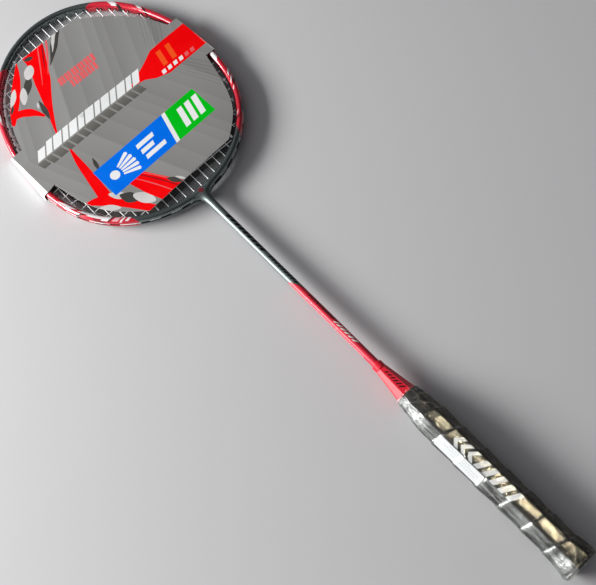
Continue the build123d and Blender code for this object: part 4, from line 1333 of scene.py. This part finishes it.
def smooth_run(points, steps=3):
    """Measured points eased into an even curve; its two ends stay."""
    points = np.array(points, float)
    eased = points.copy()
    eased[1:-1] = 0.25 * points[:-2] + 0.5 * points[1:-1] + 0.25 * points[2:]
    eased = np.vstack([2 * eased[0] - eased[1], eased, 2 * eased[-1] - eased[-2]])
    curve = []
    for before, start, end, after in zip(eased, eased[1:], eased[2:], eased[3:]):
        for k in range(steps):
            t = k / steps
            curve.append(0.5 * ((2 * start) + (-before + end) * t
                                + (2 * before - 5 * start + 4 * end - after) * t * t
                                + (-before + 3 * start - 3 * end + after) * t ** 3))
    curve.append(eased[-2])
    return [tuple(float(value) for value in point) for point in curve]


# Outline as x, y, clockwise from the opening at the tip. The sleeve hangs a
# little askew, so it is not symmetrical.
RUN_UPPER_RIGHT = smooth_run([
    (30.0, 649.4), (36.2, 643.9), (43.9, 638.3), (51.9, 631.5), (63.4, 620.5), (69.4, 612.4),
    (74.9, 604.2), (80.3, 595.9), (84.9, 587.1), (87.9, 579.6)])
RUN_LOWER_RIGHT = smooth_run([
    (91.2, 528.0), (89.7, 520.0), (87.5, 510.6), (84.9, 499.8), (81.6, 488.9), (78.5, 480.1),
    (74.9, 472.6), (70.7, 466.0), (65.3, 459.6), (57.0, 452.6), (48.8, 446.2)])
RUN_LOWER_LEFT = smooth_run([
    (-44.2, 441.9), (-51.0, 448.4), (-59.8, 456.6), (-67.6, 464.7), (-73.0, 473.0),
    (-77.4, 481.8), (-80.8, 491.4), (-83.5, 502.0), (-85.7, 512.4), (-87.6, 522.2)])
RUN_UPPER_LEFT = smooth_run([
    (-87.8, 571.3), (-85.3, 582.4), (-81.6, 593.0), (-76.4, 605.0), (-67.4, 618.4),
    (-57.0, 629.6), (-47.0, 639.9), (-38.0, 648.9)])
# lower and upper end of each fold line, by side
FRONT_FOLDS = {1: ((101.00, 527.7), (98.35, 579.1)), -1: ((-96.45, 520.2), (-98.60, 571.3))}
BACK_FOLDS = {1: ((101.05, 526.4), (99.60, 578.2)), -1: ((-101.95, 521.9), (-99.70, 579.2))}
CARD_Z = 5.72                   # height of each panel from the strings' plane


def outline(folds):
    return (RUN_UPPER_RIGHT + [folds[1][1], folds[1][0]] + RUN_LOWER_RIGHT + RUN_LOWER_LEFT
            + [folds[-1][0], folds[-1][1]] + RUN_UPPER_LEFT)


# =====================================================================
# card sleeve: printed shapes
# =====================================================================
def swoosh(controls, half_widths, steps=16):
    """Curved band along a Bezier; its half widths are evenly spread."""
    start, pull, push, end = [np.array(point, float) for point in controls]
    share = [i / steps for i in range(steps + 1)]
    line = np.array([(1 - t) ** 3 * start + 3 * (1 - t) ** 2 * t * pull
                     + 3 * (1 - t) * t * t * push + t ** 3 * end for t in share])
    tangent = np.gradient(line, axis=0)
    tangent /= np.linalg.norm(tangent, axis=1)[:, None]
    normal = np.stack([-tangent[:, 1], tangent[:, 0]], 1)
    half = np.interp(np.linspace(0, 1, steps + 1), np.linspace(0, 1, len(half_widths)),
                     half_widths)[:, None]
    return ([tuple(point) for point in line + normal * half]
            + [tuple(point) for point in (line - normal * half)[::-1]])


def oval(x, y, half_length, half_width, degrees, count=22, point=0.0):
    """Oval with its long axis at degrees; point sharpens its ends."""
    cos, sin = math.cos(math.radians(degrees)), math.sin(math.radians(degrees))
    ring = []
    for i in range(count):
        angle = 2 * math.pi * i / count
        along = half_length * math.cos(angle)
        across = half_width * math.sin(angle) * (1 - point * abs(math.cos(angle)) ** 1.5)
        ring.append((x + along * cos - across * sin, y + along * sin + across * cos))
    return ring


def slant(x, y, width, height, lean):
    return [(x, y), (x + width, y), (x + width + lean, y + height), (x + lean, y + height)]


def turned(poly, centre, degrees):
    cos, sin = math.cos(math.radians(degrees)), math.sin(math.radians(degrees))
    mid_x, mid_y = centre
    return [(mid_x + (x - mid_x) * cos - (y - mid_y) * sin,
             mid_y + (x - mid_x) * sin + (y - mid_y) * cos) for x, y in poly]


def feathers(origin, start, inner, outer, tip=None):
    """A shuttle's fan of five feathers; tip is the reach of a pointed end."""
    fan = []
    for k in range(5):
        first, last = math.radians(start + 11.0 * k), math.radians(start + 11.0 * k + 7.6)
        corners = [(inner, first), (outer, first), (outer, last), (inner, last)]
        if tip:
            corners.insert(2, (tip, (first + last) / 2))
        fan.append(([(origin[0] + radius * math.cos(angle), origin[1] + radius * math.sin(angle))
                     for radius, angle in corners], WHITE))
    return fan


# Front panel: (polygon, ink), later shapes over earlier ones.
FRONT_ART = [
    # upper left: red sweeps that run together, with ovals between
    (swoosh([(12, 652), (2, 643), (-4, 634), (-16, 624)], (3.2, 3.6, 0.4)), DARK),
    (swoosh([(9, 651), (2, 646), (0, 641), (-6, 634)], (1.5, 1.7, 0.2)), PALE),
    (swoosh([(-18, 655), (-22, 628), (-38, 606), (-56, 560)], (13.0, 9.0, 7.5, 3.6, 0.6)), RED),
    (swoosh([(-42, 656), (-44, 640), (-54, 622), (-80, 598)], (6.5, 5.2, 4.2, 3.6)), RED),
    (swoosh([(-84, 602), (-70, 608), (-58, 600), (-52, 584)], (2.0, 3.6, 4.2, 1.0)), RED),
    (oval(-26.5, 644.6, 4.6, 2.4, -20, point=0.5), DARK),
    (oval(-44.0, 621.5, 11.8, 3.9, 48, point=0.55), DARK),
    (oval(-34.9, 632.2, 7.9, 4.7, 46, point=0.1), PALE),
    (oval(-53.6, 615.0, 9.4, 3.6, 58, point=0.3), PALE),
    (oval(-62.0, 620.5, 9.6, 3.0, 46, point=0.35), PALE),
    (oval(-69.5, 611.0, 5.2, 1.4, 46, point=0.5), DARK),
    (swoosh([(-2, 650), (-8, 640), (-14, 630), (-23, 618)], (0.9, 1.0, 0.3)), PINK),
    (swoosh([(-8, 648), (-13, 640), (-17, 633), (-22, 624)], (0.7, 0.8, 0.3)), DARK_RED),
    (swoosh([(-12, 650), (-18, 640), (-24, 628), (-34, 612)], (0.5, 0.6, 0.2)), PINK),
    (oval(-48.5, 589.0, 12.5, 2.6, 80, point=0.75), DARK),
    (swoosh([(-36, 616), (-40, 606), (-43, 596), (-46, 584)], (0.5, 0.7, 0.2)), RED),
    (oval(-50.0, 597.5, 3.6, 1.0, 70, point=0.4), PALE),
    # lower left: the same kind of sweeps, leaning the other way
    (swoosh([(-56, 542), (-60, 522), (-60, 502), (-64, 474)], (0.6, 3.2, 4.6, 5.8)), RED),
    (swoosh([(-82, 486), (-68, 484), (-58, 470), (-38, 438)], (1.0, 4.6, 4.2, 3.4)), RED),
    (oval(-54.2, 473.0, 9.0, 3.6, -52, point=0.35), PALE),
    (oval(-66.8, 468.6, 9.8, 3.0, -44, point=0.35), PALE),
    (oval(-48.4, 464.4, 9.6, 5.2, -58, point=0.5), DARK),
    (oval(-39.4, 455.0, 10.8, 5.0, -60, point=0.2), PALE),
    ([(-41.0, 477.5), (-24.0, 475.5), (-4.5, 443.0), (-29.5, 442.5), (-35.5, 457.5)], RED),
    (swoosh([(-34, 476), (-28, 466), (-23, 456), (-17, 442)], (0.3, 0.6, 0.4)), PINK),
    (swoosh([(-29, 476), (-23, 467), (-18, 458), (-11, 443)], (0.4, 0.7, 0.5)), DARK_RED),
    (swoosh([(-26, 476), (-20, 467), (-14, 458), (-7, 443)], (0.3, 0.5, 0.4)), PINK),
    (oval(-10.0, 449.5, 7.5, 2.6, -58, point=0.5), DARK),
    (oval(-5.0, 447.5, 5.0, 1.2, -58, point=0.5), PALE),
    (oval(-49.5, 511.0, 8.0, 1.9, 78, point=0.6), DARK),
    # red flag that runs out to the right-hand fold, with bars on it
    ([(20.7, 551.1), (46.8, 562.6), (58.3, 568.7), (72.0, 569.6), (102.5, 570.2),
      (102.5, 538.2), (72.0, 537.4), (57.0, 536.9), (44.4, 541.6), (35.6, 547.8)], RED),
]
FRONT_ART += [(slant(x, 546.5, 5.0, 17.0, 3.6), ORANGE) for x in (57.0, 67.5)]
FRONT_ART += [(slant(51.0 + 6.6 * k, 539.9, 4.1, 4.2, 1.2), PINK if k > 3 else WHITE)
              for k in range(6)]
# row of slanted white bars, and their dark mirror image below
BAR_WIDTHS = [8.0, 6.4, 9.2, 6.0, 8.6, 6.4, 9.4, 5.8, 8.8, 6.2, 9.0, 6.0, 7.4]
bar_x = -85.0
for k, width in enumerate(BAR_WIDTHS):
    height = 12.2 if k else 10.0
    FRONT_ART.append((slant(bar_x, 549.9, width, height, height * 0.66), WHITE))
    depth = height * 0.76
    FRONT_ART.append((slant(bar_x + 0.5, 548.5 - depth, width - 0.4, depth, -depth * 0.30),
                      SHADE))
    bar_x += width + 1.55
# two short rows of pink bars
for row, (y, count) in enumerate(((598.3, 11), (589.4, 8))):
    for k in range(count):
        FRONT_ART.append((slant(-22.5 + 3.75 * k + 7.5 * row, y, (3.1, 2.6)[(k + row) % 2],
                                8.6, 1.3), PINK))
# blue and green label with a shuttle and bars, turned a little
LABEL_ART = [
    ([(-56.3, 476.0), (59.7, 476.0), (59.7, 508.0), (-56.3, 508.0)], BLUE),
    ([(18.0, 476.0), (59.7, 476.0), (59.7, 508.0), (27.0, 508.0)], GREEN),
    ([(14.0, 476.0), (18.0, 476.0), (27.0, 508.0), (23.0, 508.0)], WHITE),
    (oval(-44.0, 492.0, 4.6, 4.6, 0, count=26), WHITE),
]
LABEL_ART += feathers((-49.0, 492.0), start=-26, inner=12.2, outer=27.5, tip=28.5)
LABEL_ART += [(slant(-14.0, 482.6 + 7.0 * k, width, 4.4, 1.3), WHITE)
              for k, width in enumerate((22.0, 14.0, 19.0))]
LABEL_ART += [(slant(30.5 + 8.6 * k, 481.5, 5.6, 20.5, 5.4), WHITE) for k in range(3)]
FRONT_ART += [(turned(poly, centre=(1.7, 492.0), degrees=1.6), ink) for poly, ink in LABEL_ART]

# Back panel: a red band, a white block of lines, a shuttle on a disc, sweeps.
BACK_ART = [
    ([(-104.0, 538.0), (104.0, 546.0), (104.0, 566.0), (-104.0, 560.0)], RED),
    ([(-104.0, 563.0), (104.0, 569.0), (104.0, 571.0), (-104.0, 565.5)], WHITE),
    ([(-52.0, 468.0), (52.0, 468.0), (52.0, 522.0), (-52.0, 522.0)], WHITE),
]
BACK_ART += [(slant(-46.0, 475.0 + 7.6 * k, width, 2.2, 0.0), SHADE)
             for k, width in enumerate((60, 78, 52, 84, 70, 40))]
BACK_ART.append((oval(33.0, 612.0, 17.0, 17.0, 0, count=36), BLUE))
BACK_ART.append((oval(33.0, 603.5, 4.2, 4.2, 0, count=24), WHITE))
BACK_ART += feathers((33.0, 599.0), start=90 - 26, inner=10.5, outer=24.0)
BACK_ART += [
    (swoosh([(-72, 600), (-50, 622), (-30, 632), (2, 640)], (1.0, 3.2, 0.6)), RED),
    (swoosh([(-76, 590), (-52, 610), (-32, 620), (-2, 628)], (0.6, 2.2, 0.5)), PALE),
]


# =====================================================================
# card sleeve: mesh
# =====================================================================
EDGE_SPLIT, ART_SPLIT, GRID_PITCH = 2.6, 7.0, 4.6


def inside(x, y, poly):
    """Which of the points lie inside a polygon."""
    poly = np.asarray(poly, float)
    result = np.zeros(len(x), bool)
    for (x0, y0), (x1, y1) in zip(poly, np.roll(poly, -1, axis=0)):
        result ^= ((y1 > y) != (y0 > y)) & (x < (x1 - x0) * (y - y0) / (y1 - y0 + 1e-12) + x0)
    return result


def double_area(points, tri):
    first, second, third = (points[i] for i in tri[:3])
    return np.cross(second - first, third - first)


def sheet(edge, art):
    """Points, triangles and their inks for one flat panel. The printed
    shapes are edges of the mesh."""
    points, edges = [], []

    def add_ring(poly, split):
        base = len(points)
        for (x0, y0), (x1, y1) in zip(poly, poly[1:] + poly[:1]):
            count = max(1, int(round(math.hypot(x1 - x0, y1 - y0) / split)))
            points.extend((x0 + (x1 - x0) * k / count, y0 + (y1 - y0) * k / count)
                          for k in range(count))
        size = len(points) - base
        edges.extend((base + i, base + (i + 1) % size) for i in range(size))

    add_ring(edge, EDGE_SPLIT)
    for poly, _ in art:
        add_ring(poly, ART_SPLIT)
    # a staggered grid fills the space between
    rows = np.arange(444, 650, GRID_PITCH)
    grid_x, grid_y = np.meshgrid(np.arange(-98, 99, GRID_PITCH), rows)
    grid_x = grid_x + (np.arange(len(rows)) % 2)[:, None] * (GRID_PITCH / 2)
    grid = np.stack([grid_x.ravel(), grid_y.ravel()], 1)
    points.extend(tuple(point) for point in grid[inside(grid[:, 0], grid[:, 1], edge)])

    result = delaunay_2d_cdt([Vector(point) for point in points], edges, [], 0, 1e-4)
    flat = np.array([(vert.x, vert.y) for vert in result[0]])
    tris = [tuple(tri) for tri in result[2]]
    centre_x, centre_y = np.array([flat[list(tri)].mean(0) for tri in tris]).T
    inks = np.zeros(len(tris), int)
    for poly, ink in art:
        inks[inside(centre_x, centre_y, poly)] = ink
    # print beyond the card is dropped with everything outside it
    kept = [(tri, ink) for tri, ink, on_card in zip(tris, inks, inside(centre_x, centre_y, edge))
            if on_card and abs(double_area(flat, tri)) > 1e-7]
    used = sorted({i for tri, _ in kept for i in tri})
    renumber = {old: new for new, old in enumerate(used)}
    return (flat[used], [tuple(renumber[i] for i in tri) for tri, _ in kept],
            [ink for _, ink in kept])


def along_fold(points, fold):
    """Share of each point along a fold line, or nan when it is off it."""
    (x0, y0), (x1, y1) = fold
    length = math.hypot(x1 - x0, y1 - y0)
    from_x, from_y = points[:, 0] - x0, points[:, 1] - y0
    share = (from_x * (x1 - x0) + from_y * (y1 - y0)) / length ** 2
    distance = np.abs(from_x * (y1 - y0) - from_y * (x1 - x0)) / length
    return np.where((distance < 2e-3) & (share > -1e-4) & (share < 1 + 1e-4), share, np.nan)


def card_bow(x, y):
    """A slow bow of the panel, held flat where it nears the folds."""
    hold = smooth(np.clip((95.0 - np.abs(x)) / 40.0, 0, 1))
    ends = np.clip((np.abs(y - 546.0) - 60.0) / 42.0, 0, 1)
    wave = np.array([noise_at(float(px) * 0.018, float(py) * 0.016, 2.0)
                     for px, py in zip(x, y)])
    return hold * (0.45 + 0.55 * wave) + ends * (0.35 + 0.25 * np.cos(x * 0.05))


card_verts, card_faces, card_inks = [], [], []


def add_panel(sign, folds, art, bow, bow_shift):
    """Add the panel that faces sign along Z. Returns, by side, the sorted
    (share along the fold, vertex) of the points on each fold."""
    base = len(card_verts)
    points, tris, inks = sheet(outline(folds), art)
    bowed = card_bow(points[:, 0] + bow_shift, points[:, 1]) * bow
    z = sign * (CARD_Z + np.maximum(bowed, -0.02))
    chains = {}
    for side in (1, -1):
        share = along_fold(points, folds[side])
        on_fold = np.flatnonzero(~np.isnan(share))
        z[on_fold] = sign * CARD_Z
        chains[side] = sorted((float(share[i]), base + i) for i in on_fold)
    card_verts.extend(tuple(vert) for vert in np.column_stack([points, z]))
    for tri in tris:
        out = tri if (double_area(points, tri) > 0) == (sign > 0) else tri[::-1]
        card_faces.append(tuple(i + base for i in out))
    card_inks.extend(inks)
    return chains


HOOP_OUTLINE = np.array([hoop_point(HOOP_HALF * k / 600, 3.0) for k in range(601)])
FLANK_R = 2.85                   # rounding of the hoop's outer flank
WALL_Z = [5.45, 5.05, 4.45, 3.7, 2.8, 1.7, 0.6, -0.6, -1.7, -2.8, -3.7, -4.45, -5.05, -5.45]


def wall_point(side, share, z):
    """Point of a side wall, between the two folds and clear of the hoop's
    flank wherever the sleeve slides."""
    (front_x0, front_y0), (front_x1, front_y1) = FRONT_FOLDS[side]
    (back_x0, back_y0), (back_x1, back_y1) = BACK_FOLDS[side]
    down = (CARD_Z - z) / (2 * CARD_Z)
    front_x = abs(front_x0 + (front_x1 - front_x0) * share)
    back_x = abs(back_x0 + (back_x1 - back_x0) * share)
    front_y = front_y0 + (front_y1 - front_y0) * share
    back_y = back_y0 + (back_y1 - back_y0) * share
    y = front_y * (1 - down) + back_y * down
    plain = front_x + (back_x - front_x) * down
    bulge = 4 * share * (1 - share)
    if side < 0:
        plain += 1.1 * bulge * math.sin(math.pi * down)
    # widest part of the hoop at or beyond this place
    centre = float(HOOP_OUTLINE[HOOP_OUTLINE[:, 1] >= y][:, 0].max()) - FLANK_R
    radius = FLANK_R + 0.35 + 0.1 * bulge
    rise = max(0.0, abs(z) - 2.35)
    clear = centre + math.sqrt(max(0.0, radius * radius - rise * rise)) if rise < radius else 0.0
    return (side * max(plain, clear), front_y + (back_y - front_y) * down, z)


def add_wall(side, front_chain, back_chain):
    def add(face, ink):
        card_faces.append(face if side > 0 else face[::-1])
        card_inks.append(WHITE if side < 0 else ink)

    shares = [share for share, _ in front_chain]
    above = [i for _, i in front_chain]
    for z in WALL_Z:
        below = list(range(len(card_verts), len(card_verts) + len(shares)))
        card_verts.extend(wall_point(side, share, z) for share in shares)
        for k in range(len(shares) - 1):
            # the red flag carries on round the right-hand wall
            middle_y = (card_verts[below[k]][1] + card_verts[below[k + 1]][1]) / 2
            add((above[k], below[k], below[k + 1], above[k + 1]),
                RED if 538.2 < middle_y < 570.2 else GREY)
        above = below
    # the last row is stitched to the back panel, whose points fall elsewhere
    back_shares = [share for share, _ in back_chain]
    back = [i for _, i in back_chain]
    i = j = 0
    while i < len(above) - 1 or j < len(back) - 1:
        next_above = shares[i + 1] if i < len(above) - 1 else 1e9
        next_back = back_shares[j + 1] if j < len(back) - 1 else 1e9
        if next_above <= next_back:
            add((above[i], back[j], above[i + 1]), GREY)
            i += 1
        else:
            add((above[i], back[j], back[j + 1]), GREY)
            j += 1


def merge_slots(mesh):
    """Fold the repeated slots back to one backing and one raw edge."""
    count = len(INKS)
    slots = np.zeros(len(mesh.polygons), int)
    mesh.polygons.foreach_get("material_index", slots)
    slots = np.where(slots >= 2 * count, count + 1, np.where(slots >= count, count, slots))
    while len(mesh.materials) > count + 1:
        mesh.materials.pop(index=len(mesh.materials) - 1)
    mesh.materials.append(BOARD)
    mesh.polygons.foreach_set("material_index", slots)


def sharpen_folds(mesh):
    mesh.set_sharp_from_angle(angle=math.radians(38))
    places = np.zeros(len(mesh.vertices) * 3)
    mesh.vertices.foreach_get("co", places)
    x, y, z = (places.reshape(-1, 3) * 1000.0).T
    edges = np.zeros(len(mesh.edges) * 2, int)
    mesh.edges.foreach_get("vertices", edges)
    edges = edges.reshape(-1, 2)
    on_fold = np.zeros(len(x), bool)
    for folds, sign in ((FRONT_FOLDS, 1), (BACK_FOLDS, -1)):
        for (x0, y0), (x1, y1) in folds.values():
            distance = (np.abs((x - x0) * (y1 - y0) - (y - y0) * (x1 - x0))
                        / math.hypot(x1 - x0, y1 - y0))
            on_fold |= ((distance < 0.30) & (z * sign > CARD_Z - 0.30)
                        & (y > y0 - 0.4) & (y < y1 + 0.4))
    sharp = (mesh.attributes.get("sharp_edge")
             or mesh.attributes.new("sharp_edge", "BOOLEAN", "EDGE"))
    marked = np.zeros(len(mesh.edges), bool)
    sharp.data.foreach_get("value", marked)
    sharp.data.foreach_set("value", marked | (on_fold[edges[:, 0]] & on_fold[edges[:, 1]]))
    mesh.update()


def build_card():
    front = add_panel(1, FRONT_FOLDS, FRONT_ART, bow=1.0, bow_shift=0.0)
    back = add_panel(-1, BACK_FOLDS, BACK_ART, bow=0.12, bow_shift=31)
    for side in (1, -1):
        add_wall(side, front[side], back[side])
    # a backing slot for each ink, so the inner skin can be offset to it
    count = len(INKS)
    card = make_mesh("card_sleeve_printed", card_verts, card_faces,
                     INKS + [BACKING] * count + [BOARD], card_inks)
    solidify(card, thickness=0.00045, offset=0.0, use_even_offset=False,
             material_offset=count, material_offset_rim=3 * count)
    merge_slots(card.data)
    sharpen_folds(card.data)
    hand_over(card, SLEEVE, "display_card")


build_card()

# =====================================================================
# stage, world, lights and camera, in metres
# =====================================================================
FLOOR_HALF = 4.0
FLOOR_SLOPE = (13.98 - 6.1) / 640.0       # rises toward the head


def floor_mat():
    mat = Mat("floor_pale")
    tone = mat.noise(scale=3.0, detail=3.0).mix((0.60, 0.60, 0.61), (0.63, 0.63, 0.64))
    grain = mat.noise(scale=900.0, detail=3.0)
    return mat.bsdf(Base_Color=tone, Roughness=0.75,
                    Normal=mat.bump(grain, strength=0.05, dist=0.0002))


def build_floor():
    mesh = bpy.data.meshes.new("floor")
    corners = [(x * FLOOR_HALF, y * FLOOR_HALF, 0)
               for x, y in ((-1, -1), (1, -1), (1, 1), (-1, 1))]
    mesh.from_pydata(corners, [], [(0, 1, 2, 3)])
    floor = bpy.data.objects.new("floor", mesh)
    bpy.context.scene.collection.objects.link(floor)
    floor.rotation_euler = (math.atan(FLOOR_SLOPE), 0, 0)
    floor.location = (0, 0.005, -0.01436)
    mesh.materials.append(floor_mat())


build_floor()

KEY_DIR = Vector((-0.754, 0.528, 0.395)).normalized()
# brightness of the world, from opposite the key light (0) to toward it (1)
WORLD_STOPS = {0.0: (0.045, 0.045, 0.05), 1.0: (0.55, 0.55, 0.55),
               0.55: (0.085, 0.085, 0.09), 0.78: (0.22, 0.22, 0.23)}


def build_world():
    world = bpy.data.worlds.new("studio")
    bpy.context.scene.world = world
    world.use_nodes = True
    nodes, links = world.node_tree.nodes, world.node_tree.links
    nodes.clear()
    output = nodes.new("ShaderNodeOutputWorld")
    background = nodes.new("ShaderNodeBackground")
    background.inputs["Strength"].default_value = 1.0
    place = nodes.new("ShaderNodeTexCoord")
    toward_key = nodes.new("ShaderNodeVectorMath")
    toward_key.operation = "DOT_PRODUCT"
    toward_key.inputs[1].default_value = KEY_DIR
    share = nodes.new("ShaderNodeMath")
    share.operation = "MULTIPLY_ADD"
    share.inputs[1].default_value = 0.5
    share.inputs[2].default_value = 0.5
    ramp = nodes.new("ShaderNodeValToRGB")
    stops = ramp.color_ramp.elements
    for position, color in WORLD_STOPS.items():
        # a new ramp already has its two end stops
        stop = stops[int(position)] if position in (0.0, 1.0) else stops.new(position)
        stop.color = (*color, 1)
    links.new(place.outputs["Generated"], toward_key.inputs[0])
    links.new(toward_key.outputs["Value"], share.inputs[0])
    links.new(share.outputs[0], ramp.inputs[0])
    links.new(ramp.outputs[0], background.inputs["Color"])
    links.new(background.outputs[0], output.inputs["Surface"])


build_world()


def area(name, location, target, size, power, color):
    light = bpy.data.lights.new(name, "AREA")
    light.shape = "RECTANGLE"
    light.size, light.size_y = size
    light.energy = power
    light.color = color
    obj = bpy.data.objects.new(name, light)
    bpy.context.scene.collection.objects.link(obj)
    obj.location = location
    aim = Vector(target) - Vector(location)
    obj.rotation_euler = aim.to_track_quat("-Z", "Y").to_euler()
    return obj


def receivers(name, objects):
    """Collection of the only objects a lamp lights."""
    group = bpy.data.collections.new(name)
    for obj in objects:
        group.objects.link(obj)
    return group


MIDDLE = Vector((0.0, 0.36, 0.0))
area("key", location=MIDDLE + KEY_DIR * 1.75, target=MIDDLE, size=(1.25, 0.52), power=55.0,
     color=(1.0, 0.995, 0.985))

# two small warm lamps that glint in the film alone
only_film = receivers("warm_receivers", [film])
warm_low = area("warm_low", location=(0.40, -0.021, 1.50), target=(0.0, 0.03, 0.0),
                size=(0.20, 0.17), power=10.5, color=(1.0, 0.85, 0.55))
warm_high = area("warm_high", location=(0.40, 0.360, 1.50), target=(0.0, 0.15, 0.0),
                 size=(0.15, 0.09), power=5.6, color=(1.0, 0.86, 0.58))
for lamp in (warm_low, warm_high):
    lamp.rotation_euler.rotate_axis("Z", 0.5)
    lamp.light_linking.receiver_collection = only_film

# a low strip lamp widens the gleam along the lacquered tube
only_lacquer = receivers("strip_receivers", [NODES["shaft_tube"], NODES["frame_hoop"]])
strip = area("strip", location=MIDDLE + Vector((-0.90, 0.36, 0.20)).normalized() * 1.6,
             target=MIDDLE, size=(1.0, 0.22), power=9.0, color=(0.97, 1.0, 0.985))
strip.light_linking.receiver_collection = only_lacquer
bpy.context.scene.view_settings.view_transform = "Standard"

# camera, above the butt on the left and looking down toward the head
CAMERA_PLACE = Vector((-0.15769, 0.00290, 0.77755))
CAMERA_FORWARD = Vector((0.18248831, 0.35080052, -0.91849715)).normalized()
CAMERA_RIGHT = Vector((0.73777593, -0.66636309, -0.10792089)).normalized()
SENSOR_MM, LENS_MM = 36.0, 62.95953


def build_camera():
    camera = bpy.data.cameras.new("cam")
    obj = bpy.data.objects.new("cam", camera)
    bpy.context.scene.collection.objects.link(obj)
    up = CAMERA_RIGHT.cross(CAMERA_FORWARD).normalized()
    pose = Matrix((CAMERA_RIGHT, up, -CAMERA_FORWARD)).transposed().to_4x4()
    pose.translation = CAMERA_PLACE
    obj.matrix_world = pose
    camera.sensor_width = SENSOR_MM
    camera.lens = LENS_MM
    camera.clip_start, camera.clip_end = 0.01, 30.0
    bpy.context.scene.camera = obj


build_camera()
